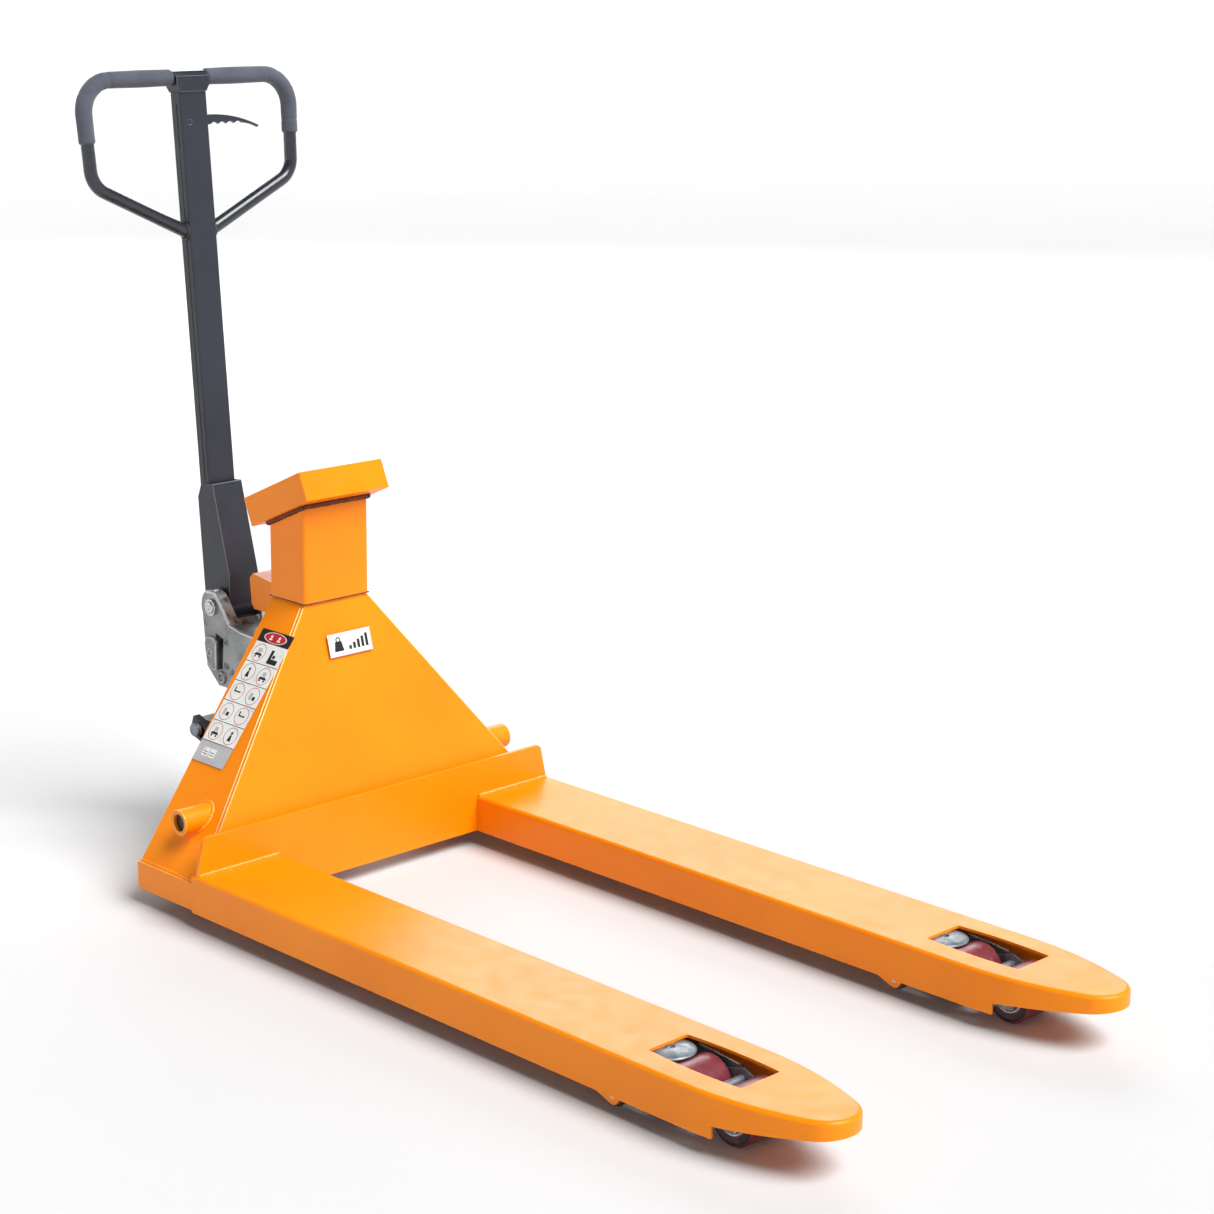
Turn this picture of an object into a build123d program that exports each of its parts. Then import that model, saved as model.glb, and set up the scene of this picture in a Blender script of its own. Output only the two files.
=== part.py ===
"""Hand pallet truck with a built-in weighing scale.

Frame: +X runs along the forks to their tips, +Y is the operator's left, +Z is up.
The origin is on the floor, in the middle of the footprint. Units are millimetres.
The model stands in its lowered position with the handle upright.
"""

import os
from math import asin, atan2, cos, degrees, hypot, radians, sin

from build123d import *

os.makedirs("parts", exist_ok=True)

# ---------------------------------------------------------------- driving dimensions
fork_length = 1150  # heel plate face to fork tip
overall_width = 685  # across both forks
fork_width = 150
shell_top = 80  # lowered height of the load face
shell_bottom = 24
sheet = 4  # fork shell and base sheet
tip_x = 803
heel_x = tip_x - fork_length  # front face of the heel plate
fork_y = (overall_width - fork_width) / 2  # centre line of each fork
seam_x = heel_x - 12  # rear edge of the fork shells
sides = {"left": 1, "right": -1}

# fork tip, in plan
taper_x = tip_x - 200  # where the sides start to curve in
taper_radius = 452
taper_drop = taper_radius - fork_width / 2
taper_length = tip_x - taper_x
nose_radius = (taper_radius**2 - taper_length**2 - taper_drop**2) / (2 * (taper_radius - taper_length))
nose_x = tip_x - nose_radius
taper_angle = atan2(nose_x - taper_x, taper_drop)
skirt_x = tip_x - 155  # the skirt steps up in front of this line
skirt_step_z = 40
skirt_tip_z = 58
shell_round = 6
heel_seat = 1  # depth of the ledge that the heel plate stands in

# roller opening in the fork top
opening_rear_x = heel_x + 855
opening_front_x = heel_x + 1007
opening_half = 34
opening_bow = 4

# lifting frame
base_rear_x = heel_x - 151
base_front_x = seam_x - 2
base_bottom = 23.5
base_top = 64.5
base_outer_y = 337
base_inner_y = 175
rail_inner = 47  # inner face of each rail, from the fork's centre line
rail_thick = 5
rail_bottom = 25
rail_top = 60
rail_front_x = 500
rail_rear_x = base_rear_x + 6
tie_bottom = 36
tie_top = 42

# A-frame and column
frame_wall = 5
frame_foot_z = 82
frame_top_z = 411
foot_front_x, foot_rear_x, foot_half_y = heel_x - 12.5, heel_x - 151.5, 317
head_front_x, head_rear_x, head_half_y = heel_x - 102.5, heel_x - 178, 57.5
column_front_x, column_rear_x, column_half_y = heel_x - 98.7, heel_x - 181.6, 61.4
column_wall = 4
heel_thick = 6
heel_top = 135

# indicator box on top of the column
indicator_x, indicator_z = heel_x - 67.5, 575.5  # lower front edge
indicator_tilt = radians(24.1)
indicator_length, indicator_width, indicator_height = 148, 157, 44
indicator_wall = 3
panel_top = 43.5
panel_thick = 3
panel_bottom = panel_top - panel_thick

# lift: how far the frame rises above its wheels
lift = 115

# rocker, which turns the fall of the pump into a push along the forks
rocker_x, rocker_z = heel_x - 76, 136
rocker_shaft_radius = 12.95
boss_bore_radius = 13
boss_radius = 19
boss_inner_y, boss_outer_y = 262, 316
steer_x = heel_x - 262
carrier_pin_z = 199
arm_reach = rocker_x - steer_x
arm_rise = carrier_pin_z - rocker_z
arm_far = hypot(arm_reach, arm_rise)  # pin to shaft when lowered
arm_angle = atan2(arm_rise, arm_reach)
rocker_turn = arm_angle + atan2(lift - arm_rise, arm_reach)
arm_inner_y, arm_outer_y = 131, 143
carrier_pin_radius = 8
slot_play = 1.3

# yoke at the front of each fork
yoke_x, yoke_z = 465, 34
bogie_x, bogie_z = 599, 50
yoke_reach = hypot(bogie_x - yoke_x, bogie_z - yoke_z)
yoke_rest = atan2(bogie_z - yoke_z, bogie_x - yoke_x)
yoke_turn = yoke_rest + asin((lift - bogie_z + yoke_z) / yoke_reach)
yoke_crank = 29
rod_travel = 2 * yoke_crank * sin(yoke_turn / 2)
rod_y = fork_y - 24
rod_eye_x = yoke_x - rod_travel / 2
rod_eye_z = yoke_z + yoke_crank * (1 + cos(yoke_turn / 2)) / 2
yoke_pin_radius = 7
crank_pin_radius = 4.5
rocker_crank = rod_travel / (2 * sin(rocker_turn / 2))
rocker_eye_x = rocker_x - rod_travel / 2
rocker_eye_z = rocker_z - rocker_crank * (1 + cos(rocker_turn / 2)) / 2
rocker_pin_radius = 6
pin_play = 2.5  # between each crank pin and its eye in the push rod
rod_half = 7
clevis_inner, clevis_outer = 8, 13

# load rollers and their bogies
roller_radius = 35
roller_half = 33
roller_spacing = 92
rear_roller_x = bogie_x - roller_spacing / 2
front_roller_x = bogie_x + roller_spacing / 2
roller_axle_radius = 8
bogie_inner, bogie_outer = 35, 39
yoke_inner, yoke_outer = 41, 45
bogie_pin_radius = 6
cover_radius = 34  # rounded front end of the cover that joins the yoke's cheeks
entry_x, entry_z = heel_x + 831, 23
entry_radius = 15
entry_inner, entry_outer = 53.5, 66
entry_axle_radius = 4
hanger_top = 44  # top of the plates that the entry rollers hang from

# pump, steering wheels and carrier
wheel_radius, hub_radius = 90, 68
wheel_inner_y, wheel_outer_y = 24, 72
axle_radius = 10
axle_half = 80
neck_radius = 30
carrier_bottom, carrier_top = 187, 211
casting_foot = 215
piston_radius = 16
piston_bottom, piston_top = 195, 372
cylinder_top = 333
ear_inner, ear_outer = 32, 48
pivot_x, pivot_z = heel_x - 347, 358
pivot_pin_radius = 9
running_gap = 0.05
lean = radians(4.8)  # the handle's lean towards the operator

# plunger, pushed down by the cam roller of the handle
cam_reach = 38
cam_angle = radians(37.5)  # above the horizontal at rest, below it at full tilt
cam_roller_radius = 10
plunger_x = pivot_x - cam_reach * (1 + cos(cam_angle)) / 2
plunger_gap = 1.2
plunger_top = pivot_z + cam_reach * sin(cam_angle) - cam_roller_radius - plunger_gap
plunger_radius = 7
plunger_boss_radius = 20
plunger_boss_top = 303
plunger_foot = 308  # lower end of the plunger at rest, above its boss
cap_thick = 6
valve_x, valve_z, valve_y = heel_x - 321, 300, 12

# handle, measured from its pivot: forwards, and up along the shaft
shaft_forward = -26
shaft_depth, shaft_half_y, shaft_wall = 25, 25, 2.5
shaft_foot, shaft_top = 70, 786
loop_top, loop_half_y = 808, 192
loop_bend = (186, 655)
loop_end = (20, 575.5)
loop_radius, loop_wall = 10, 2
grip_radius = 14
grip_start, grip_end = 31, (188.4, 716)
lever_y, lever_s = -10, 741
lever_pin_radius = 4
release_rod_y = 8
release_rod_radius = 2.5
release_rod_foot = 42
sleeve_half_y, sleeve_wall = 28, 3


def side_plane(y):
    """Vertical plane at y, with X to the right and Z up."""
    return Plane((0, y, 0), x_dir=(1, 0, 0), z_dir=(0, -1, 0))


forward = Vector(cos(lean), 0, sin(lean))
along = Vector(-sin(lean), 0, cos(lean))
handle_side = Plane((pivot_x, 0, pivot_z), x_dir=forward, z_dir=(0, -1, 0))
shaft_line = Vector(pivot_x, 0, pivot_z) + forward * shaft_forward
loop_face = Plane(shaft_line, x_dir=(0, 1, 0), z_dir=forward)
indicator_face = Plane(
    (indicator_x, 0, indicator_z),
    x_dir=(-cos(indicator_tilt), 0, -sin(indicator_tilt)),
    z_dir=(-sin(indicator_tilt), 0, cos(indicator_tilt)),
)


def shaft_section(s):
    """Plane across the handle shaft at a distance s above the pivot."""
    return Plane(shaft_line + along * s, x_dir=(0, 1, 0), z_dir=along)


def indicator_level(n):
    """Plane parallel to the indicator's face, n above its underside."""
    return indicator_face.offset(n)


# ---------------------------------------------------------------- weigh frame
def fork_plan(y, inset, rear_x):
    """Outline of a fork in plan, with its curved taper and round nose."""
    half = fork_width / 2 - inset
    side_r = taper_radius - inset
    nose_r = nose_radius - inset
    half_angle = taper_angle / 2
    side_mid = (taper_x + side_r * sin(half_angle), side_r * cos(half_angle) - taper_drop)
    side_end = (nose_x + nose_r * sin(taper_angle), nose_r * cos(taper_angle))
    with BuildLine() as outline:
        Line((rear_x, y + half), (taper_x, y + half))
        ThreePointArc((taper_x, y + half), (side_mid[0], y + side_mid[1]), (side_end[0], y + side_end[1]))
        ThreePointArc((side_end[0], y + side_end[1]), (nose_x + nose_r, y), (side_end[0], y - side_end[1]))
        ThreePointArc((side_end[0], y - side_end[1]), (side_mid[0], y - side_mid[1]), (taper_x, y - half))
        Line((taper_x, y - half), (rear_x, y - half))
        Line((rear_x, y - half), (rear_x, y + half))
    return outline.edges()


def opening_plan(y):
    """Outline of the roller opening, with slightly bowed long sides."""
    mid_x = (opening_rear_x + opening_front_x) / 2
    with BuildLine() as outline:
        Line((opening_rear_x, y - opening_half), (opening_rear_x, y + opening_half))
        ThreePointArc(
            (opening_rear_x, y + opening_half),
            (mid_x, y + opening_half + opening_bow),
            (opening_front_x, y + opening_half),
        )
        Line((opening_front_x, y + opening_half), (opening_front_x, y - opening_half))
        ThreePointArc(
            (opening_front_x, y - opening_half),
            (mid_x, y - opening_half - opening_bow),
            (opening_rear_x, y - opening_half),
        )
    return outline.edges()


def make_fork_shell(y):
    """Folded fork cover with its roller opening and the entry rollers' hanger plates."""
    inner_wall = fork_width / 2 - sheet
    with BuildPart() as shell:
        with BuildSketch(Plane.XY.offset(shell_bottom)):
            make_face(fork_plan(y, 0, seam_x))
        extrude(amount=shell_top - shell_bottom)
        top_face = shell.faces().sort_by(Axis.Z)[-1]
        fillet(top_face.edges().sort_by(Axis.X)[1:], radius=shell_round)
        with BuildSketch(Plane.XY.offset(shell_bottom)):
            make_face(fork_plan(y, sheet, seam_x - sheet))
        extrude(amount=shell_top - sheet - shell_bottom, mode=Mode.SUBTRACT)
        with BuildSketch(Plane.XY.offset(shell_top)) as cut:
            make_face(opening_plan(y))
            fillet(cut.vertices(), radius=3)
        extrude(amount=-2 * sheet, mode=Mode.SUBTRACT)
        with BuildSketch(side_plane(y)):
            Polygon(
                (skirt_x, shell_bottom - 1),
                (skirt_x, skirt_step_z),
                (tip_x + 1, skirt_tip_z),
                (tip_x + 1, shell_bottom - 1),
                align=None,
            )
        extrude(amount=fork_width, both=True, mode=Mode.SUBTRACT)
        for wall in (1, -1):
            with BuildSketch(side_plane(y + wall * (inner_wall - sheet / 2))):
                with BuildLine():
                    Polyline(
                        (entry_x - 7, entry_z - 9),
                        (entry_x - 40, shell_bottom + 2),
                        (entry_x - 40, hanger_top),
                        (entry_x + 15, hanger_top),
                        (entry_x + 15, shell_bottom + 2),
                        (entry_x + 8, entry_z - 8),
                    )
                    ThreePointArc(
                        (entry_x + 8, entry_z - 8),
                        (entry_x + 1, entry_z - 11),
                        (entry_x - 7, entry_z - 9),
                    )
                make_face()
            extrude(amount=sheet / 2, both=True)
        with BuildSketch(side_plane(y)):
            with Locations((entry_x, entry_z)):
                Circle(entry_axle_radius)
        extrude(amount=fork_width / 2 - sheet, both=True, mode=Mode.SUBTRACT)
        with Locations((heel_x, y, shell_top)):
            Box(
                fork_width,
                fork_width,
                2 * heel_seat,
                align=(Align.MAX, Align.CENTER, Align.CENTER),
                mode=Mode.SUBTRACT,
            )
    return shell.part


for name, side in sides.items():
    fork_shell = make_fork_shell(side * fork_y)
    fork_shell.label = f"fork_shell_{name}"
    export_step(fork_shell, f"parts/fork_shell_{name}.step")

with BuildPart() as heel_plate:
    inner_edge = fork_y - fork_width / 2
    seat_z = shell_top - heel_seat
    with BuildSketch(Plane.YZ.offset(heel_x - heel_thick)):
        Polygon(
            (-inner_edge, shell_bottom),
            (inner_edge, shell_bottom),
            (inner_edge, seat_z),
            (base_outer_y + 3, seat_z),
            (base_outer_y - 10, heel_top),
            (10 - base_outer_y, heel_top),
            (-base_outer_y - 3, seat_z),
            (-inner_edge, seat_z),
            align=None,
        )
    extrude(amount=heel_thick)
    upper_corners = heel_plate.edges().filter_by(Axis.X).group_by(Axis.Z)[-1]
    fillet(upper_corners, radius=10)
    foot_edges = heel_plate.edges().filter_by(Axis.Y).filter_by_position(Axis.Z, seat_z - 0.1, seat_z + 0.1)
    chamfer(foot_edges.group_by(Axis.X)[-1], length=heel_seat)
heel_plate.part.label = "heel_plate"
export_step(heel_plate.part, "parts/heel_plate.step")

# ---------------------------------------------------------------- load cells
cell_length, cell_width, cell_height = 120, 25, 27
cell_offset = 19  # towards the outside of the fork, clear of the push rod
cell_starts = (-300, 290)  # rear end of each cell
button_radius = 7
with BuildPart() as load_cells:
    for side in sides.values():
        for start in cell_starts:
            cell_y = side * (fork_y + cell_offset)
            with Locations((start + cell_length / 2, cell_y, tie_top + cell_height / 2)):
                Box(cell_length, cell_width, cell_height)
            with Locations((start + cell_length / 2, cell_y, tie_top + cell_height / 2)):
                with Locations((-7, 0, 0), (7, 0, 0)):
                    Cylinder(9, cell_width, rotation=(90, 0, 0), mode=Mode.SUBTRACT)
            button_z = (tie_top + cell_height + shell_top - sheet) / 2
            with Locations((start + cell_length - 14, cell_y, button_z)):
                Cylinder(button_radius, shell_top - sheet - tie_top - cell_height)
            for step in (14, 34):
                with Locations((start + step, cell_y, tie_top + cell_height)):
                    Cylinder(6, 5, align=(Align.CENTER, Align.CENTER, Align.MIN))
load_cells.part.label = "load_cells"
export_step(load_cells.part, "parts/load_cells.step")

# ---------------------------------------------------------------- lifting frame
for name, side in sides.items():
    with BuildPart() as inner_fork:
        rail_length = rail_front_x - rail_rear_x
        rail_centre = rail_inner + rail_thick / 2
        rail_mid = ((rail_front_x + rail_rear_x) / 2, side * fork_y, (rail_top + rail_bottom) / 2)
        with Locations(rail_mid):
            with Locations((0, rail_centre, 0), (0, -rail_centre, 0)):
                Box(rail_length, rail_thick, rail_top - rail_bottom)
        for tie_x in (base_front_x + 30, cell_starts[0] + 22, 0, cell_starts[1] + 22, 405):
            with Locations((tie_x, side * fork_y, (tie_top + tie_bottom) / 2)):
                Box(44, 2 * rail_inner, tie_top - tie_bottom)
        with Locations((yoke_x, side * fork_y, yoke_z)):
            Cylinder(yoke_pin_radius, 4 * rail_inner, rotation=(90, 0, 0), mode=Mode.SUBTRACT)
        with Locations((entry_x, side * fork_y, entry_z)):
            Cylinder(entry_axle_radius, 4 * rail_inner, rotation=(90, 0, 0), mode=Mode.SUBTRACT)
        with BuildSketch(side_plane(side * fork_y)):
            with Locations((entry_x, entry_z)):
                Circle(entry_axle_radius + 5)
            with Locations((entry_x, entry_z + 8)):
                Rectangle(2 * entry_axle_radius + 10, 16)
            with Locations((entry_x, entry_z)):
                Circle(entry_axle_radius, mode=Mode.SUBTRACT)
        extrude(amount=rail_inner + rail_thick, both=True)
        with Locations((entry_x, side * fork_y, (rail_bottom + rail_top) / 2 - 20)):
            Box(60, 2 * rail_inner, 80, mode=Mode.SUBTRACT)
    inner_fork.part.label = f"inner_fork_{name}"
    export_step(inner_fork.part, f"parts/inner_fork_{name}.step")

with BuildPart() as rear_base:
    shoe_length = base_front_x - base_rear_x
    shoe_width = base_outer_y - base_inner_y
    for side in sides.values():
        shoe_y = side * (base_outer_y + base_inner_y) / 2
        with Locations((base_rear_x, shoe_y, base_bottom)):
            Box(shoe_length, shoe_width, base_top - base_bottom, align=(Align.MIN, Align.CENTER, Align.MIN))
        with Locations((base_rear_x + sheet, shoe_y, base_bottom)):
            Box(
                shoe_length,
                shoe_width - 2 * sheet,
                base_top - base_bottom - sheet,
                align=(Align.MIN, Align.CENTER, Align.MIN),
                mode=Mode.SUBTRACT,
            )
        with Locations((base_front_x - 90, side * rod_y, base_top)):
            Box(100, 36, 3 * sheet, align=(Align.MIN, Align.CENTER, Align.CENTER), mode=Mode.SUBTRACT)
    beam_half = fork_y - fork_width / 2 - 4
    with Locations((base_front_x - sheet, 0, base_bottom)):
        Box(sheet, 2 * beam_half, frame_foot_z - base_bottom, align=(Align.MIN, Align.CENTER, Align.MIN))
rear_base.part.label = "rear_base"
export_step(rear_base.part, "parts/rear_base.step")


def frame_ring(z):
    """Outer and inner corner of the A-frame's wall at height z: front x, rear x and half width."""
    share = (z - frame_foot_z) / (frame_top_z - frame_foot_z)
    front = foot_front_x + share * (head_front_x - foot_front_x)
    rear = foot_rear_x + share * (head_rear_x - foot_rear_x)
    half = foot_half_y + share * (head_half_y - foot_half_y)
    return front, rear, half


side_wall = frame_wall / cos(atan2(foot_half_y - head_half_y, frame_top_z - frame_foot_z))
with BuildPart() as a_frame_front:
    for z in (frame_foot_z, frame_top_z):
        front, rear, half = frame_ring(z)
        with BuildSketch(Plane.XY.offset(z)):
            Polygon(
                (front, half),
                (front, -half),
                (front - frame_wall, side_wall - half),
                (front - frame_wall, half - side_wall),
                align=None,
            )
    loft(ruled=True)
a_frame_front.part.label = "a_frame_front"
export_step(a_frame_front.part, "parts/a_frame_front.step")

for name, side in sides.items():
    with BuildPart() as a_frame_side:
        for z in (base_top, frame_top_z):
            front, rear, half = frame_ring(z)
            with BuildSketch(Plane.XY.offset(z)):
                Polygon(
                    (front, side * half),
                    (front - frame_wall, side * (half - side_wall)),
                    (rear, side * (half - side_wall)),
                    (rear, side * half),
                    align=None,
                )
        loft(ruled=True)
        with Locations((base_front_x, side * foot_half_y, base_top - 1)):
            Box(
                40,
                100,
                frame_foot_z - base_top + 1,
                align=(Align.MIN, Align.CENTER, Align.MIN),
                mode=Mode.SUBTRACT,
            )
        with Locations((rocker_x, side * boss_outer_y, rocker_z)):
            Cylinder(boss_radius, 200, rotation=(90, 0, 0), mode=Mode.SUBTRACT)
    a_frame_side.part.label = f"a_frame_side_{name}"
    export_step(a_frame_side.part, f"parts/a_frame_side_{name}.step")

with BuildPart() as column:
    column_mid_x = (column_front_x + column_rear_x) / 2
    column_depth = column_front_x - column_rear_x
    with BuildSketch(Plane.XY.offset(frame_top_z)):
        with Locations((column_mid_x, 0)):
            RectangleRounded(column_depth, 2 * column_half_y, 5)
            RectangleRounded(
                column_depth - 2 * column_wall,
                2 * (column_half_y - column_wall),
                1.5,
                mode=Mode.SUBTRACT,
            )
    extrude(amount=200)
    split(bisect_by=indicator_face, keep=Keep.BOTTOM)
column.part.label = "column"
export_step(column.part, "parts/column.step")

with BuildPart() as lift_head:
    head_half = 20
    head_rear = heel_x - 286
    with BuildSketch(side_plane(0)):
        Polygon(
            (head_rear + 4, 372),
            (head_rear, 412),
            (head_rear + 8, 420),
            (column_rear_x - 0.5, 408),
            (column_rear_x + 60, 408),
            (column_rear_x + 60, 380),
            (column_rear_x + 20, 364),
            (head_rear + 10, 364),
            align=None,
        )
    extrude(amount=head_half, both=True)
    with Locations((column_mid_x, 0, frame_top_z)):
        Box(60, 96, 6, align=(Align.CENTER, Align.CENTER, Align.MAX))
    with Locations((steer_x, 0, piston_top)):
        Cylinder(piston_radius, 40, align=(Align.CENTER, Align.CENTER, Align.MAX), mode=Mode.SUBTRACT)
lift_head.part.label = "lift_head"
export_step(lift_head.part, "parts/lift_head.step")

with BuildPart() as piston_rod:
    with Locations((steer_x, 0, piston_bottom)):
        Cylinder(piston_radius, piston_top - piston_bottom, align=(Align.CENTER, Align.CENTER, Align.MIN))
    chamfer(piston_rod.edges().group_by(Axis.Z)[0], length=2)
piston_rod.part.label = "piston_rod"
export_step(piston_rod.part, "parts/piston_rod.step")

with BuildPart() as rocker_bosses:
    for side in sides.values():
        with BuildSketch(side_plane(side * (boss_inner_y + boss_outer_y) / 2)):
            with Locations((rocker_x, rocker_z)):
                Circle(boss_radius)
                Circle(boss_bore_radius, mode=Mode.SUBTRACT)
        extrude(amount=(boss_outer_y - boss_inner_y) / 2, both=True)
rocker_bosses.part.label = "rocker_bosses"
export_step(rocker_bosses.part, "parts/rocker_bosses.step")

with BuildPart() as fork_pins:
    for side in sides.values():
        with Locations((yoke_x, side * fork_y, yoke_z)):
            Cylinder(yoke_pin_radius, 2 * (rail_inner + rail_thick + 2), rotation=(90, 0, 0))
        for wall in (1, -1):
            axle_inner, axle_outer = rail_inner, fork_width / 2 - sheet
            with Locations((entry_x, side * fork_y + wall * (axle_inner + axle_outer) / 2, entry_z)):
                Cylinder(entry_axle_radius, axle_outer - axle_inner, rotation=(90, 0, 0))
fork_pins.part.label = "fork_pins"
export_step(fork_pins.part, "parts/fork_pins.step")

# ---------------------------------------------------------------- indicator
with BuildPart() as indicator_housing:
    post_x = indicator_length / 2 - indicator_wall - 6
    post_y = indicator_width / 2 - indicator_wall - 6
    with BuildSketch(indicator_level(0)):
        with Locations((indicator_length / 2, 0)):
            Rectangle(indicator_length, indicator_width)
    extrude(amount=indicator_height)
    fillet(indicator_housing.edges().filter_by(Axis(indicator_face.origin, indicator_face.z_dir)), radius=3)
    with BuildSketch(indicator_level(indicator_wall)):
        with Locations((indicator_length / 2, 0)):
            Rectangle(indicator_length - 2 * indicator_wall, indicator_width - 2 * indicator_wall)
    extrude(amount=indicator_height, mode=Mode.SUBTRACT)
    with BuildSketch(indicator_level(indicator_wall)):
        with Locations((indicator_length / 2, 0)):
            with GridLocations(2 * post_x, 2 * post_y, 2, 2):
                Rectangle(12, 12)
                Circle(2, mode=Mode.SUBTRACT)
    extrude(amount=panel_bottom - indicator_wall)
indicator_housing.part.label = "indicator_housing"
export_step(indicator_housing.part, "parts/indicator_housing.step")

window_x, window_length, window_width = 46, 38, 96
key_x, key_pitch = 108, 26
key_length, key_width = 14, 19
key_places = [(key_x, key_pitch * step) for step in (-1.5, -0.5, 0.5, 1.5)]
with BuildPart() as indicator_panel:
    with BuildSketch(indicator_level(panel_bottom)):
        with Locations((indicator_length / 2, 0)):
            Rectangle(indicator_length - 2 * indicator_wall - 0.6, indicator_width - 2 * indicator_wall - 0.6)
            with GridLocations(2 * post_x, 2 * post_y, 2, 2):
                Circle(2, mode=Mode.SUBTRACT)
        with Locations((window_x, 0)):
            Rectangle(window_length, window_width, mode=Mode.SUBTRACT)
        with Locations(*key_places):
            Rectangle(key_length + 0.8, key_width + 0.8, mode=Mode.SUBTRACT)
    extrude(amount=panel_thick)
indicator_panel.part.label = "indicator_panel"
export_step(indicator_panel.part, "parts/indicator_panel.step")

with BuildPart() as display_window:
    with BuildSketch(indicator_level(panel_bottom + 0.8)):
        with Locations((window_x, 0)):
            Rectangle(window_length - 0.4, window_width - 0.4)
    extrude(amount=2)
display_window.part.label = "display_window"
export_step(display_window.part, "parts/display_window.step")

with BuildPart() as circuit_board:
    with BuildSketch(indicator_level(28)):
        with Locations((indicator_length / 2, 0)):
            Rectangle(110, 124)
    extrude(amount=1.6)
    with BuildSketch(indicator_level(33)):
        with Locations((window_x, 0)):
            Rectangle(window_length - 4, window_width - 4)
    extrude(amount=panel_bottom - 33)
circuit_board.part.label = "circuit_board"
export_step(circuit_board.part, "parts/circuit_board.step")

with BuildPart() as battery:
    with BuildSketch(indicator_level(indicator_wall)):
        with Locations((indicator_length / 2, 0)):
            RectangleRounded(70, 100, 3)
    extrude(amount=20)
battery.part.label = "battery"
export_step(battery.part, "parts/battery.step")

with BuildPart() as panel_screws:
    with BuildSketch(indicator_level(panel_bottom - 10)):
        with Locations((indicator_length / 2, 0)):
            with GridLocations(2 * post_x, 2 * post_y, 2, 2):
                Circle(2)
    extrude(amount=panel_thick + 10)
    with BuildSketch(indicator_level(panel_top)):
        with Locations((indicator_length / 2, 0)):
            with GridLocations(2 * post_x, 2 * post_y, 2, 2):
                Circle(3.6)
    extrude(amount=1.4)
panel_screws.part.label = "panel_screws"
export_step(panel_screws.part, "parts/panel_screws.step")

for number, place in enumerate(key_places, start=1):
    with BuildPart() as key:
        with BuildSketch(indicator_level(37)):
            with Locations(place):
                Rectangle(key_length + 3, key_width + 3)
        extrude(amount=2)
        with BuildSketch(indicator_level(39)):
            with Locations(place):
                RectangleRounded(key_length, key_width, 2)
        extrude(amount=6)
        with BuildSketch(indicator_level(32)):
            with Locations(place):
                Circle(2.5)
        extrude(amount=5)
    key.part.label = f"key_{number}"
    export_step(key.part, f"parts/key_{number}.step")

# ---------------------------------------------------------------- rocker and push rods
with BuildPart() as rocker:
    with Locations((rocker_x, 0, rocker_z)):
        Cylinder(rocker_shaft_radius, 2 * (boss_outer_y - 6), rotation=(90, 0, 0))
    slot_mid = (arm_far + arm_reach) / 2
    slot_length = arm_far - arm_reach + 2 * (carrier_pin_radius + slot_play)
    for side in sides.values():
        arm_plane = side_plane(side * (arm_inner_y + arm_outer_y) / 2)
        with BuildSketch(arm_plane):
            with Locations((rocker_x, rocker_z)):
                Circle(24)
                with Locations(Rotation(0, 0, 180 - degrees(arm_angle))):
                    with Locations((slot_mid / 2, 0)):
                        Rectangle(slot_mid, 30)
                    with Locations((slot_mid, 0)):
                        Rectangle(slot_length + 13, 30)
                        SlotOverall(slot_length, 2 * (carrier_pin_radius + slot_play), mode=Mode.SUBTRACT)
        extrude(amount=(arm_outer_y - arm_inner_y) / 2, both=True)
        with BuildSketch(side_plane(side * rod_y)):
            with Locations((rocker_x, rocker_z)):
                Circle(18)
                with Locations(Rotation(0, 0, -90 - degrees(rocker_turn / 2))):
                    with Locations((rocker_crank / 2, 0)):
                        Rectangle(rocker_crank, 22)
                    with Locations((rocker_crank, 0)):
                        Circle(11)
        extrude(amount=6, both=True)
        crank_x = rocker_x - rocker_crank * sin(rocker_turn / 2)
        crank_z = rocker_z - rocker_crank * cos(rocker_turn / 2)
        with Locations((crank_x, side * rod_y, crank_z)):
            Cylinder(rocker_pin_radius, 2 * clevis_outer + 4, rotation=(90, 0, 0))
rocker.part.label = "rocker"
export_step(rocker.part, "parts/rocker.step")

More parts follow.
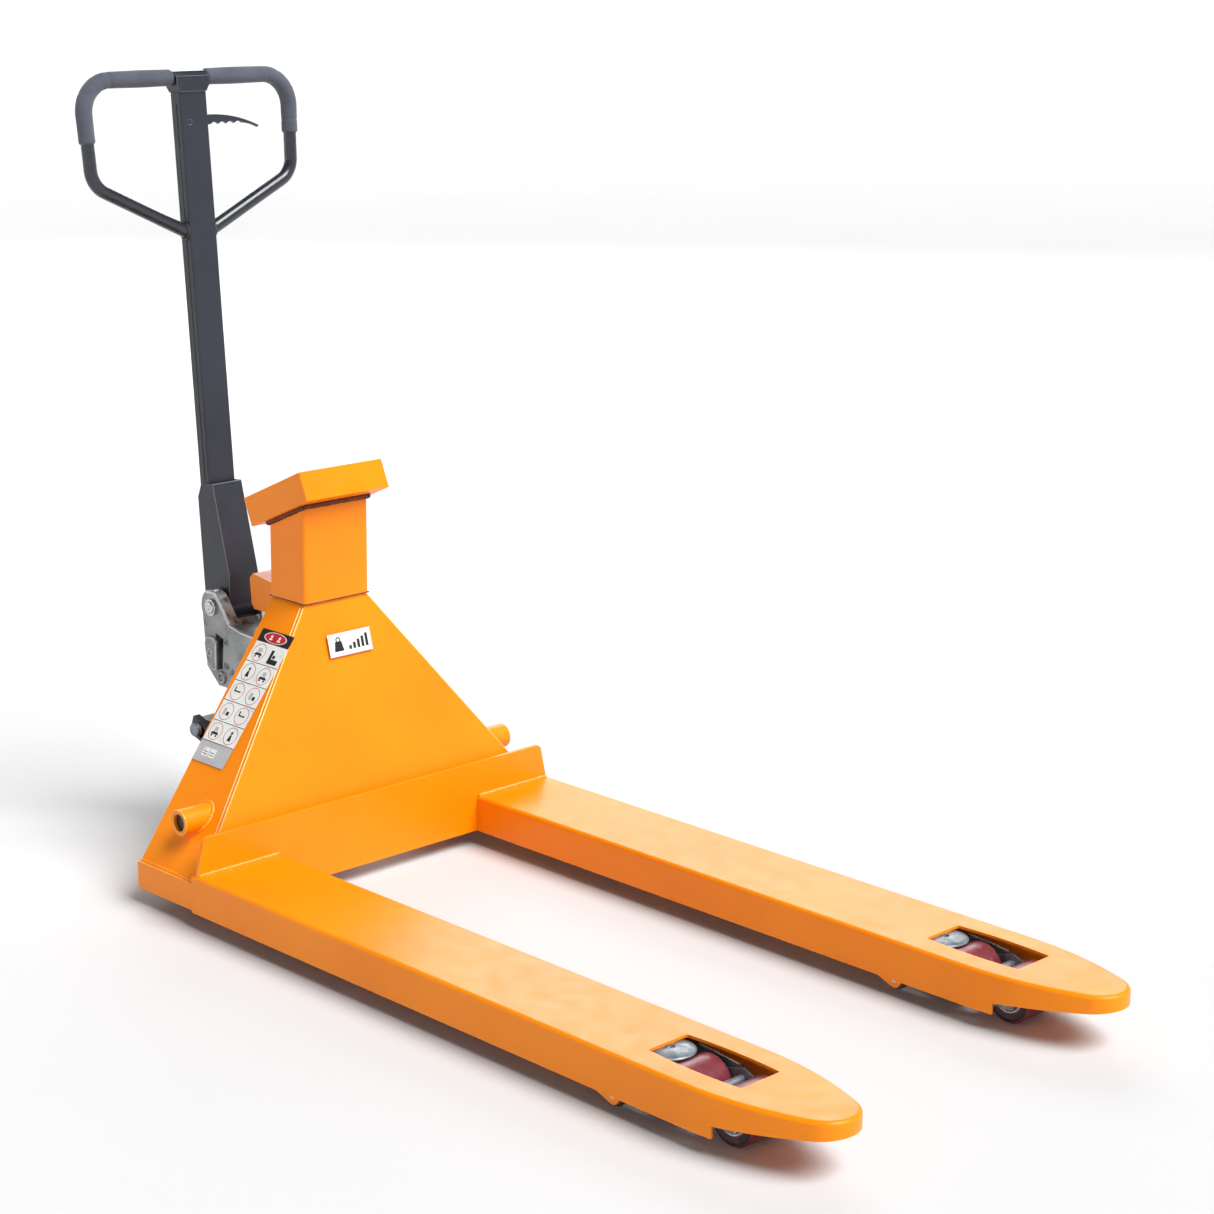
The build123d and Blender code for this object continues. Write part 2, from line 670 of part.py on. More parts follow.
for name, side in sides.items():
    with BuildPart() as push_rod:
        bar_low, bar_high = rod_eye_z - rod_half, rod_eye_z + rod_half
        bar_rear, bar_front = -385, 415
        with Locations(((bar_rear + bar_front) / 2, side * rod_y, rod_eye_z)):
            Box(bar_front - bar_rear, 2 * rod_half, 2 * rod_half)
        for cheek in (1, -1):
            cheek_y = side * rod_y + cheek * (clevis_inner + clevis_outer) / 2
            with BuildSketch(side_plane(cheek_y)):
                with Locations((rod_eye_x, rod_eye_z)):
                    Circle(crank_pin_radius + pin_play + 4)
                with Locations(((rod_eye_x + bar_front) / 2 - 12, rod_eye_z)):
                    Rectangle(rod_eye_x - bar_front + 24, 2 * (crank_pin_radius + pin_play + 3))
                with Locations((rod_eye_x, rod_eye_z)):
                    Circle(crank_pin_radius + pin_play, mode=Mode.SUBTRACT)
            extrude(amount=(clevis_outer - clevis_inner) / 2, both=True)
            with BuildSketch(side_plane(cheek_y)):
                with Locations((rocker_eye_x, rocker_eye_z)):
                    Circle(rocker_pin_radius + pin_play + 5)
                Polygon(
                    (rocker_eye_x, rocker_eye_z + 13),
                    (rocker_eye_x + 16, rocker_eye_z + 9),
                    (bar_rear, bar_high),
                    (bar_rear, bar_low),
                    (bar_rear - 8, bar_low),
                    (rocker_eye_x - 3, rocker_eye_z - 13),
                    align=None,
                )
                with Locations((rocker_eye_x, rocker_eye_z)):
                    Circle(rocker_pin_radius + pin_play, mode=Mode.SUBTRACT)
            extrude(amount=(clevis_outer - clevis_inner) / 2, both=True)
        with Locations((bar_rear + 9, side * rod_y, rod_eye_z), (bar_front - 9, side * rod_y, rod_eye_z)):
            Box(18, 2 * clevis_outer, 2 * rod_half)
    push_rod.part.label = f"push_rod_{name}"
    export_step(push_rod.part, f"parts/push_rod_{name}.step")

# ---------------------------------------------------------------- yokes, bogies and rollers
for name, side in sides.items():
    centre_y = side * fork_y
    with BuildPart() as yoke:
        arm_half = (yoke_outer - yoke_inner) / 2
        for cheek in (1, -1):
            with BuildSketch(side_plane(centre_y + cheek * (yoke_inner + yoke_outer) / 2)):
                with Locations((yoke_x, yoke_z)):
                    Circle(13)
                with Locations((bogie_x, bogie_z)):
                    Circle(13)
                Polygon(
                    (yoke_x - 2, yoke_z - 12.8),
                    (bogie_x + 2, bogie_z - 12.8),
                    (bogie_x - 2, bogie_z + 12.8),
                    (bogie_x - 60, bogie_z + 19),
                    (yoke_x + 30, yoke_z + 35),
                    (yoke_x - 5, yoke_z + 12),
                    align=None,
                )
                with Locations((bogie_x, bogie_z)):
                    Circle(bogie_pin_radius, mode=Mode.SUBTRACT)
            extrude(amount=arm_half, both=True)
        with Locations((yoke_x, centre_y, yoke_z)):
            Cylinder(12, 2 * yoke_outer, rotation=(90, 0, 0))
        with BuildPart(mode=Mode.PRIVATE) as cover:
            with BuildSketch(side_plane(centre_y)):
                with BuildLine():
                    Line((yoke_x - 6, yoke_z + 6), (yoke_x + 20, yoke_z + 31))
                    ThreePointArc(
                        (yoke_x + 20, yoke_z + 31),
                        (yoke_x + 40, yoke_z + 38),
                        (yoke_x + 62, yoke_z + 37),
                    )
                    Line((yoke_x + 62, yoke_z + 37), (yoke_x + 62, yoke_z + 32))
                    ThreePointArc(
                        (yoke_x + 62, yoke_z + 32),
                        (yoke_x + 40, yoke_z + 32),
                        (yoke_x + 24, yoke_z + 26),
                    )
                    Line((yoke_x + 24, yoke_z + 26), (yoke_x + 6, yoke_z + 6))
                    Line((yoke_x + 6, yoke_z + 6), (yoke_x - 6, yoke_z + 6))
                make_face()
            extrude(amount=yoke_inner, both=True)
            with BuildSketch():
                with Locations((yoke_x + 28, centre_y)):
                    Circle(cover_radius)
                    Rectangle(80, 2 * yoke_inner, align=(Align.MAX, Align.CENTER))
            extrude(amount=shell_top, mode=Mode.INTERSECT)
        add(cover.part)
        with BuildSketch(side_plane(side * rod_y)):
            with Locations((yoke_x, yoke_z)):
                with Locations(Rotation(0, 0, 90 + degrees(yoke_turn / 2))):
                    with Locations((yoke_crank / 2, 0)):
                        Rectangle(yoke_crank, 18)
                    with Locations((yoke_crank, 0)):
                        Circle(9)
        extrude(amount=6, both=True)
        crank_top = (yoke_x - yoke_crank * sin(yoke_turn / 2), yoke_z + yoke_crank * cos(yoke_turn / 2))
        with Locations((crank_top[0], side * rod_y, crank_top[1])):
            Cylinder(crank_pin_radius, 2 * clevis_outer + 4, rotation=(90, 0, 0))
        with Locations((yoke_x, centre_y, yoke_z)):
            Cylinder(yoke_pin_radius + running_gap, 4 * yoke_outer, rotation=(90, 0, 0), mode=Mode.SUBTRACT)
        with Locations((yoke_x + 44, centre_y, yoke_z + 20)):
            Cylinder(5.5, 40, mode=Mode.SUBTRACT)
    yoke.part.label = f"yoke_{name}"
    export_step(yoke.part, f"parts/yoke_{name}.step")

    with BuildPart() as bogie:
        for cheek in (1, -1):
            with BuildSketch(side_plane(centre_y + cheek * (bogie_inner + bogie_outer) / 2)):
                with Locations((rear_roller_x, roller_radius), (front_roller_x, roller_radius)):
                    Circle(15)
                with Locations((bogie_x, bogie_z)):
                    Circle(14)
                Polygon(
                    (rear_roller_x, roller_radius - 14),
                    (front_roller_x, roller_radius - 14),
                    (front_roller_x + 6, roller_radius + 13.5),
                    (bogie_x + 7, bogie_z + 12),
                    (bogie_x - 7, bogie_z + 12),
                    (rear_roller_x - 6, roller_radius + 13.5),
                    align=None,
                )
            extrude(amount=(bogie_outer - bogie_inner) / 2, both=True)
        with Locations((bogie_x, centre_y, bogie_z)):
            Cylinder(bogie_pin_radius - running_gap, 2 * (yoke_outer + 1), rotation=(90, 0, 0))
        with Locations((rear_roller_x, centre_y, roller_radius), (front_roller_x, centre_y, roller_radius)):
            Cylinder(roller_axle_radius, 2 * (bogie_outer + 1), rotation=(90, 0, 0))
    bogie.part.label = f"bogie_{name}"
    export_step(bogie.part, f"parts/bogie_{name}.step")

    for place, roller_x in {"rear": rear_roller_x, "front": front_roller_x}.items():
        with BuildPart() as load_roller:
            with BuildSketch(side_plane(centre_y)):
                with Locations((roller_x, roller_radius)):
                    Circle(roller_radius)
                    Circle(roller_axle_radius + running_gap, mode=Mode.SUBTRACT)
            extrude(amount=roller_half, both=True)
            chamfer(load_roller.edges().filter_by(GeomType.CIRCLE).group_by(SortBy.RADIUS)[-1], length=2)
        load_roller.part.label = f"load_roller_{place}_{name}"
        export_step(load_roller.part, f"parts/load_roller_{place}_{name}.step")

    for place, wall in {"outer": side, "inner": -side}.items():
        with BuildPart() as entry_roller:
            with BuildSketch(side_plane(centre_y + wall * (entry_inner + entry_outer) / 2)):
                with Locations((entry_x, entry_z)):
                    Circle(entry_radius)
                    Circle(entry_axle_radius + running_gap, mode=Mode.SUBTRACT)
            extrude(amount=(entry_outer - entry_inner) / 2, both=True)
            chamfer(entry_roller.edges().filter_by(GeomType.CIRCLE).group_by(SortBy.RADIUS)[-1], length=1.5)
        entry_roller.part.label = f"entry_roller_{place}_{name}"
        export_step(entry_roller.part, f"parts/entry_roller_{place}_{name}.step")

# ---------------------------------------------------------------- carrier, pump and steering wheels
with BuildPart() as carrier:
    beam_end = arm_inner_y - 3
    pin_start, pin_end = beam_end - 8, arm_outer_y + 4
    with BuildSketch(Plane.XY.offset(carrier_bottom)):
        with Locations((steer_x, 0)):
            Circle(50)
            Rectangle(38, 2 * beam_end)
    extrude(amount=carrier_top - carrier_bottom)
    with Locations((steer_x, 88, carrier_bottom), (steer_x, -88, carrier_bottom)):
        Box(60, 56, 12, align=(Align.CENTER, Align.CENTER, Align.MIN), mode=Mode.SUBTRACT)
    for side in sides.values():
        with Locations((steer_x, side * (pin_start + pin_end) / 2, carrier_pin_z)):
            Cylinder(carrier_pin_radius, pin_end - pin_start, rotation=(90, 0, 0))
    with Locations((steer_x, 0, carrier_bottom)):
        Cylinder(neck_radius + 2 * running_gap, 60, mode=Mode.SUBTRACT)
carrier.part.label = "carrier"
export_step(carrier.part, "parts/carrier.step")

with BuildPart() as pump_casting:
    with BuildSketch(side_plane(0)):
        with BuildLine():
            Line((pivot_x + 24, pivot_z + 12), (pivot_x + 50, pivot_z - 20))
            Line((pivot_x + 50, pivot_z - 20), (steer_x + 30, cylinder_top - 3))
            Line((steer_x + 30, cylinder_top - 3), (steer_x + 34, 245))
            Line((steer_x + 34, 245), (steer_x + 20, 235))
            Line((steer_x + 20, 235), (pivot_x + 14, 235))
            Line((pivot_x + 14, 235), (pivot_x - 16, 262))
            Line((pivot_x - 16, 262), (pivot_x - 24, pivot_z - 12))
            ThreePointArc(
                (pivot_x - 24, pivot_z - 12),
                (pivot_x - 4, pivot_z + 27),
                (pivot_x + 24, pivot_z + 12),
            )
        make_face()
        Polygon(
            (pivot_x + 4, 262),
            (pivot_x + 24, 262),
            (pivot_x + 28, 312),
            (pivot_x + 8, 318),
            align=None,
            mode=Mode.SUBTRACT,
        )
        with Locations((pivot_x, pivot_z)):
            Circle(pivot_pin_radius, mode=Mode.SUBTRACT)
    extrude(amount=ear_outer, both=True)
    with Locations((pivot_x - 40, 0, 200)):
        Box(84, 2 * ear_inner, 220, align=(Align.MIN, Align.CENTER, Align.MIN), mode=Mode.SUBTRACT)
    with Locations((steer_x, 0, casting_foot)):
        Cylinder(ear_outer, cylinder_top - casting_foot, align=(Align.CENTER, Align.CENTER, Align.MIN))
    with Locations((plunger_x, 0, 245)):
        Cylinder(plunger_boss_radius, plunger_boss_top - 245, align=(Align.CENTER, Align.CENTER, Align.MIN))
        Box(90, 30, 40, align=(Align.MIN, Align.CENTER, Align.MIN))
    with Locations((plunger_x, 0, 255)):
        Cylinder(
            plunger_radius + running_gap,
            80,
            align=(Align.CENTER, Align.CENTER, Align.MIN),
            mode=Mode.SUBTRACT,
        )
    neck_bottom = carrier_bottom - 7
    with Locations((steer_x, 0, neck_bottom)):
        Cylinder(neck_radius, casting_foot - neck_bottom, align=(Align.CENTER, Align.CENTER, Align.MIN))
    with BuildSketch(side_plane(0)):
        with Locations((steer_x, wheel_radius)):
            Circle(24)
        with Locations((steer_x, (wheel_radius + carrier_bottom) / 2)):
            Rectangle(48, carrier_bottom - wheel_radius)
        with Locations((steer_x, wheel_radius)):
            Circle(axle_radius, mode=Mode.SUBTRACT)
    extrude(amount=wheel_inner_y - 2, both=True)
    with Locations((steer_x, 0, piston_bottom - 5)):
        Cylinder(
            piston_radius + running_gap,
            cylinder_top,
            align=(Align.CENTER, Align.CENTER, Align.MIN),
            mode=Mode.SUBTRACT,
        )
pump_casting.part.label = "pump_casting"
export_step(pump_casting.part, "parts/pump_casting.step")

with BuildPart() as pivot_pin:
    with BuildSketch(side_plane(0)):
        with Locations((pivot_x, pivot_z)):
            Circle(pivot_pin_radius)
    extrude(amount=ear_outer + 3, both=True)
    for side in sides.values():
        with BuildSketch(side_plane(side * (ear_outer + 1.5))):
            with Locations((pivot_x, pivot_z)):
                Circle(13)
        extrude(amount=1.5, both=True)
pivot_pin.part.label = "pivot_pin"
export_step(pivot_pin.part, "parts/pivot_pin.step")

with BuildPart() as steer_axle:
    with BuildSketch(side_plane(0)):
        with Locations((steer_x, wheel_radius)):
            Circle(axle_radius)
    extrude(amount=axle_half, both=True)
    for side in sides.values():
        with BuildSketch(side_plane(side * (wheel_outer_y + 3))):
            with Locations((steer_x, wheel_radius)):
                Circle(axle_radius + 6)
        extrude(amount=2, both=True)
steer_axle.part.label = "steer_axle"
export_step(steer_axle.part, "parts/steer_axle.step")

for name, side in sides.items():
    wheel_mid_y = side * (wheel_inner_y + wheel_outer_y) / 2
    wheel_half = (wheel_outer_y - wheel_inner_y) / 2
    with BuildPart() as hub:
        with BuildSketch(side_plane(wheel_mid_y)):
            with Locations((steer_x, wheel_radius)):
                Circle(hub_radius)
                Circle(axle_radius + running_gap, mode=Mode.SUBTRACT)
        extrude(amount=wheel_half, both=True)
        with BuildSketch(side_plane(side * wheel_outer_y)):
            with Locations((steer_x, wheel_radius)):
                Circle(hub_radius - 8)
                Circle(26, mode=Mode.SUBTRACT)
        extrude(amount=10, both=True, mode=Mode.SUBTRACT)
    hub.part.label = f"wheel_hub_{name}"
    export_step(hub.part, f"parts/wheel_hub_{name}.step")
    with BuildPart() as tyre:
        with BuildSketch(side_plane(wheel_mid_y)):
            with Locations((steer_x, wheel_radius)):
                Circle(wheel_radius)
                Circle(hub_radius, mode=Mode.SUBTRACT)
        extrude(amount=wheel_half, both=True)
        chamfer(tyre.edges().filter_by(GeomType.CIRCLE).group_by(SortBy.RADIUS)[-1], length=3)
    tyre.part.label = f"wheel_tyre_{name}"
    export_step(tyre.part, f"parts/wheel_tyre_{name}.step")

with BuildPart() as plunger:
    with Locations((plunger_x, 0, plunger_foot)):
        Cylinder(plunger_radius, plunger_top - plunger_foot, align=(Align.CENTER, Align.CENTER, Align.MIN))
    with Locations((plunger_x, 0, plunger_top)):
        Cylinder(12, cap_thick, align=(Align.CENTER, Align.CENTER, Align.MAX))
plunger.part.label = "plunger"
export_step(plunger.part, "parts/plunger.step")

with BuildPart() as plunger_spring:
    spring_top = plunger_top - cap_thick
    spring_wire, spring_radius, spring_turns = 1.5, 10.5, 6
    spring_pitch = (spring_top - plunger_boss_top - 2 * spring_wire) / (spring_turns - 1)
    for turn in range(spring_turns):
        turn_z = plunger_boss_top + spring_wire + turn * spring_pitch
        with Locations((plunger_x, 0, turn_z)):
            Torus(spring_radius, spring_wire)
plunger_spring.part.label = "plunger_spring"
export_step(plunger_spring.part, "parts/plunger_spring.step")

with BuildPart() as valve_lever:
    with BuildSketch(side_plane(valve_y)):
        with BuildLine():
            Polyline((valve_x, valve_z + 7), (valve_x - 28, valve_z + 10), (valve_x - 30, valve_z + 3))
            Polyline((valve_x - 30, valve_z + 3), (valve_x - 6, valve_z - 6), (valve_x + 4, valve_z - 7))
            ThreePointArc((valve_x + 4, valve_z - 7), (valve_x + 7, valve_z + 1), (valve_x, valve_z + 7))
        make_face()
        with Locations((valve_x, valve_z)):
            Circle(3.1, mode=Mode.SUBTRACT)
    extrude(amount=2.5, both=True)
valve_lever.part.label = "valve_lever"
export_step(valve_lever.part, "parts/valve_lever.step")

# ---------------------------------------------------------------- handle
with BuildPart() as handle_sleeve:
    with BuildSketch(handle_side):
        with BuildLine():
            Polyline((-42, -6), (-42, 168), (-31, 190), (-2, 190), (24, 48), (20, 0))
            ThreePointArc((20, 0), (8, -28), (-14, -31))
            Line((-14, -31), (-42, -6))
        make_face()
        Circle(pivot_pin_radius + running_gap, mode=Mode.SUBTRACT)
    extrude(amount=sleeve_half_y, both=True)
    with BuildSketch(handle_side):
        Polygon(
            (-60, -60),
            (-60, 230),
            (-5.5, 230),
            (-5.5, 190),
            (20.5, 48),
            (14, -10),
            (4, -60),
            align=None,
        )
    extrude(amount=sleeve_half_y - sleeve_wall, both=True, mode=Mode.SUBTRACT)
handle_sleeve.part.label = "handle_sleeve"
export_step(handle_sleeve.part, "parts/handle_sleeve.step")

with BuildPart() as handle_shaft:
    with BuildSketch(shaft_section(shaft_foot)):
        RectangleRounded(2 * shaft_half_y, shaft_depth, 3)
        Rectangle(2 * (shaft_half_y - shaft_wall), shaft_depth - 2 * shaft_wall, mode=Mode.SUBTRACT)
    extrude(amount=shaft_top - shaft_foot)
    with BuildSketch(loop_face):
        with Locations((shaft_half_y, lever_s)):
            Rectangle(4 * shaft_wall, 44)
    extrude(amount=4.5, both=True, mode=Mode.SUBTRACT)
    with BuildSketch(loop_face):
        with Locations((lever_y, lever_s)):
            Circle(lever_pin_radius)
    extrude(amount=shaft_depth, both=True, mode=Mode.SUBTRACT)
handle_shaft.part.label = "handle_shaft"
export_step(handle_shaft.part, "parts/handle_shaft.step")

with BuildPart() as lever_pin:
    with BuildSketch(loop_face):
        with Locations((lever_y, lever_s)):
            Circle(lever_pin_radius)
    extrude(amount=shaft_depth / 2 - 0.5, both=True)
lever_pin.part.label = "lever_pin"
export_step(lever_pin.part, "parts/lever_pin.step")

with BuildPart() as handle_loop:
    loop_corners = [
        (-loop_end[0], loop_end[1]),
        (-loop_bend[0], loop_bend[1]),
        (-loop_half_y, loop_top),
        (loop_half_y, loop_top),
        (loop_bend[0], loop_bend[1]),
        (loop_end[0], loop_end[1]),
    ]
    with BuildLine(loop_face) as loop_path:
        FilletPolyline(*loop_corners, radius=(38, 48, 48, 38))
    with BuildSketch(Plane(loop_path.line @ 0, z_dir=loop_path.line % 0)):
        Circle(loop_radius)
        Circle(loop_radius - loop_wall, mode=Mode.SUBTRACT)
    sweep(path=loop_path.line)
    with BuildSketch(shaft_section(400)):
        Rectangle(2 * shaft_half_y, 60)
    extrude(amount=320, mode=Mode.SUBTRACT)
handle_loop.part.label = "handle_loop"
export_step(handle_loop.part, "parts/handle_loop.step")

with BuildPart() as grips:
    for side in sides.values():
        with BuildLine(loop_face) as grip_path:
            FilletPolyline(
                (side * grip_start, loop_top),
                (side * loop_half_y, loop_top),
                (side * grip_end[0], grip_end[1]),
                radius=48,
            )
        with BuildSketch(Plane(grip_path.line @ 0, z_dir=grip_path.line % 0)):
            Circle(grip_radius)
            Circle(loop_radius + running_gap, mode=Mode.SUBTRACT)
        sweep(path=grip_path.line)
grips.part.label = "grips"
export_step(grips.part, "parts/grips.step")

with BuildPart() as handle_cap:
    with BuildSketch(loop_face):
        Polygon(
            (-30, loop_top + 2),
            (30, loop_top + 2),
            (30, loop_top - 12),
            (24, shaft_top),
            (-24, shaft_top),
            (-30, loop_top - 12),
            align=None,
        )
    extrude(amount=15, both=True)
    with Locations(Plane(shaft_line + along * loop_top, x_dir=(1, 0, 0), z_dir=(0, 1, 0))):
        Cylinder(loop_radius, 80, mode=Mode.SUBTRACT)
handle_cap.part.label = "handle_cap"
export_step(handle_cap.part, "parts/handle_cap.step")

with BuildPart() as cam_roller:
    cam_x = pivot_x - cam_reach * cos(cam_angle)
    cam_z = pivot_z + cam_reach * sin(cam_angle)
    with BuildSketch(side_plane(0)):
        with Locations((cam_x, cam_z)):
            Circle(cam_roller_radius)
    extrude(amount=13, both=True)
    with BuildSketch(side_plane(0)):
        with Locations((cam_x, cam_z)):
            Circle(5)
    extrude(amount=sleeve_half_y - sleeve_wall, both=True)
cam_roller.part.label = "cam_roller"
export_step(cam_roller.part, "parts/cam_roller.step")

with BuildPart() as release_lever:
    with BuildSketch(loop_face):
        with BuildLine():
            Polyline((lever_y - 8, lever_s), (lever_y - 3, lever_s + 8), (36, lever_s + 10))
            ThreePointArc((36, lever_s + 10), (82, lever_s + 5), (127, lever_s - 10))
            Line((127, lever_s - 10), (125, lever_s - 13))
            ThreePointArc((125, lever_s - 13), (111, lever_s - 7.5), (96, lever_s - 5))
            for notch in range(4):
                notch_y = 96 - 15 * notch
                ThreePointArc(
                    (notch_y, lever_s - 5),
                    (notch_y - 7.5, lever_s - 2),
                    (notch_y - 15, lever_s - 5),
                )
            Polyline((36, lever_s - 5), (lever_y - 3, lever_s - 8), (lever_y - 8, lever_s))
        make_face()
        with Locations((lever_y, lever_s)):
            Circle(lever_pin_radius + running_gap, mode=Mode.SUBTRACT)
    extrude(amount=3, both=True)
release_lever.part.label = "release_lever"
export_step(release_lever.part, "parts/release_lever.step")

with BuildPart() as release_rod:
    with BuildSketch(shaft_section(release_rod_foot)):
        with Locations((release_rod_y, 0)):
            Circle(release_rod_radius)
    extrude(amount=lever_s - 10 - release_rod_foot)
release_rod.part.label = "release_rod"
export_step(release_rod.part, "parts/release_rod.step")
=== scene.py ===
"""Looks for the hand pallet truck with a built-in weighing scale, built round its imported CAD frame.

Frame: +X runs along the forks to their tips, +Y is the operator's left, +Z is up. Units are metres.
"""

import math
import random

import bmesh
import bpy
from mathutils import Matrix, Vector


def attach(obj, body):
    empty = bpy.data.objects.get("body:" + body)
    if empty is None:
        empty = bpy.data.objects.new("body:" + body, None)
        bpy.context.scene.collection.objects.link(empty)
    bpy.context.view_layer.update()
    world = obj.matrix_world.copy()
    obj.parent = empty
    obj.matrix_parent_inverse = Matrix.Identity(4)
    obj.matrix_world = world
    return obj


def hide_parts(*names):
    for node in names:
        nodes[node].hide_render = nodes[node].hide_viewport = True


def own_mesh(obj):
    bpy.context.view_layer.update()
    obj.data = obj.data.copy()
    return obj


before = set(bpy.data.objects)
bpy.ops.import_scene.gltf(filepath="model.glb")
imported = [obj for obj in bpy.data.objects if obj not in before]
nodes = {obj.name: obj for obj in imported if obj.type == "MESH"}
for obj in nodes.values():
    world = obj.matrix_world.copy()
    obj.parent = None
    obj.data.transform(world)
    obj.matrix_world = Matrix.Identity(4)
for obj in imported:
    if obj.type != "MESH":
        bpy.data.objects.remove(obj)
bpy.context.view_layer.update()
rng = random.Random(7)

MM = 0.001
SIDES = {"left": 1, "right": -1}


# ---------------------------------------------------------------- materials
class Shader:
    """A node tree with short calls for the few nodes that every material here is made of."""

    def __init__(self, name):
        self.material = bpy.data.materials.new(name)
        self.material.use_nodes = True
        self.tree = self.material.node_tree
        self.bsdf = self.tree.nodes["Principled BSDF"]
        self.place = self.tree.nodes.new("ShaderNodeTexCoord").outputs["Object"]

    def link(self, a, b):
        self.tree.links.new(a, b)

    def set(self, **values):
        for name, value in values.items():
            self.bsdf.inputs[name.replace("_", " ")].default_value = value

    def stretched(self, scale):
        mapping = self.tree.nodes.new("ShaderNodeMapping")
        mapping.inputs["Scale"].default_value = scale
        self.link(self.place, mapping.inputs["Vector"])
        return mapping.outputs["Vector"]

    def noise(self, scale, detail=2.0, rough=0.5, stretch=None):
        node = self.tree.nodes.new("ShaderNodeTexNoise")
        node.inputs["Scale"].default_value = scale
        node.inputs["Detail"].default_value = detail
        node.inputs["Roughness"].default_value = rough
        self.link(self.stretched(stretch) if stretch else self.place, node.inputs["Vector"])
        return node.outputs["Fac"]

    def cells(self, scale):
        node = self.tree.nodes.new("ShaderNodeTexVoronoi")
        node.inputs["Scale"].default_value = scale
        self.link(self.place, node.inputs["Vector"])
        return node.outputs["Color"]

    def band(self, value, low, high, to_low=0.0, to_high=1.0):
        node = self.tree.nodes.new("ShaderNodeMapRange")
        for name, number in (("From Min", low), ("From Max", high), ("To Min", to_low),
                             ("To Max", to_high)):
            node.inputs[name].default_value = number
        self.link(value, node.inputs["Value"])
        return node.outputs["Result"]

    def mix(self, factor, a, b):
        node = self.tree.nodes.new("ShaderNodeMix")
        node.data_type = "RGBA"
        self.link(factor, node.inputs["Factor"])
        for socket, value in ((node.inputs["A"], a), (node.inputs["B"], b)):
            if isinstance(value, tuple):
                socket.default_value = (*value, 1.0)
            else:
                self.link(value, socket)
        return node.outputs["Result"]

    def bump(self, *layers):
        """Each layer is (height, strength, distance), laid over the one before."""
        normal = None
        for height, strength, distance in layers:
            node = self.tree.nodes.new("ShaderNodeBump")
            node.inputs["Strength"].default_value = strength
            node.inputs["Distance"].default_value = distance
            self.link(height, node.inputs["Height"])
            if normal is not None:
                self.link(normal, node.inputs["Normal"])
            normal = node.outputs["Normal"]
        self.link(normal, self.bsdf.inputs["Normal"])

    def colour(self, socket):
        self.link(socket, self.bsdf.inputs["Base Color"])

    def roughness(self, socket):
        self.link(socket, self.bsdf.inputs["Roughness"])


def srgb(r, g, b):
    """Linear colour from 0-255 display values."""
    return tuple((c / 255) ** 2.2 for c in (r, g, b))


def paint(name, colour, deep, thin, rough, coat, grain=900.0, relief=0.00012, scuffs=0.68, gloss=0.5):
    """Sprayed paint: drifting tone, orange-peel skin, fine rubs that lighten it. On the weld paint the
    paler tone and rubs are partly painted glints.
    """
    s = Shader(name)
    tone = s.mix(s.band(s.noise(5.0, 3.0), 0.35, 0.65), colour, deep)
    rubs = s.band(s.noise(60.0, 5.0, 0.7, stretch=(1.0, 5.0, 5.0)), scuffs, scuffs + 0.06)
    s.colour(s.mix(rubs, tone, thin))
    s.roughness(s.band(s.noise(35.0, 4.0), 0.2, 0.8, rough - 0.06, rough + 0.1))
    s.bump((s.noise(grain, 2.0), 0.35, relief), (s.noise(140.0, 1.0), 0.25, 0.0003))
    s.set(Coat_Weight=coat, Coat_Roughness=0.12, Specular_IOR_Level=gloss)
    return s.material


def edge_wear_and_highlight(name, colour, chip, rough, coat, chipped=0.7):
    """Paint pulled thin over a bent or cut edge, with a few chips. Its lighter colour is also a painted
    highlight along the edge.
    """
    s = Shader(name)
    chips = s.band(s.noise(240.0, 4.0, 0.65), chipped, chipped + 0.04)
    tone = s.mix(s.band(s.noise(30.0, 3.0), 0.3, 0.7), colour, tuple(0.88 * c for c in colour))
    s.colour(s.mix(chips, tone, chip))
    s.roughness(s.band(s.noise(120.0, 3.0), 0.2, 0.8, rough - 0.05, rough + 0.1))
    s.bump((s.noise(500.0, 2.0), 0.3, 0.0001))
    s.set(Coat_Weight=coat, Coat_Roughness=0.1)
    return s.material


def metal(name, colour, deep, rough, metallic=1.0, grain=300.0, stretch=None, relief=0.00006, strength=0.4,
          spots=None):
    """Bare, plated or cast metal. Stretch draws the grain out into turning or brushing lines."""
    s = Shader(name)
    tone = s.mix(s.band(s.noise(18.0, 4.0, 0.6), 0.35, 0.65), colour, deep)
    if spots:
        tint, scale = spots
        tone = s.mix(s.band(s.noise(scale, 3.0, 0.6), 0.58, 0.66), tone, tint)
    s.colour(tone)
    s.roughness(s.band(s.noise(grain, 3.0, 0.6, stretch=stretch), 0.25, 0.75, rough - 0.1, rough + 0.12))
    s.bump((s.noise(grain, 3.0, 0.6, stretch=stretch), strength, relief), (s.noise(60.0, 2.0), 0.2, 0.0003))
    s.set(Metallic=metallic)
    return s.material


def galvanised(name, colour, deep, rough):
    """Zinc plate with its faint crystal pattern and dull patches."""
    s = Shader(name)
    spangle = s.band(s.cells(260.0), 0.0, 1.0)
    tone = s.mix(spangle, colour, deep)
    dull = s.band(s.noise(40.0, 4.0, 0.6), 0.5, 0.68)
    s.colour(s.mix(dull, tone, tuple(0.72 * c for c in deep)))
    s.roughness(s.band(s.noise(90.0, 3.0), 0.25, 0.75, rough - 0.1, rough + 0.14))
    s.bump((s.noise(420.0, 3.0, 0.6), 0.35, 0.00008), (s.noise(45.0, 2.0), 0.3, 0.0004))
    s.set(Metallic=0.55)
    return s.material


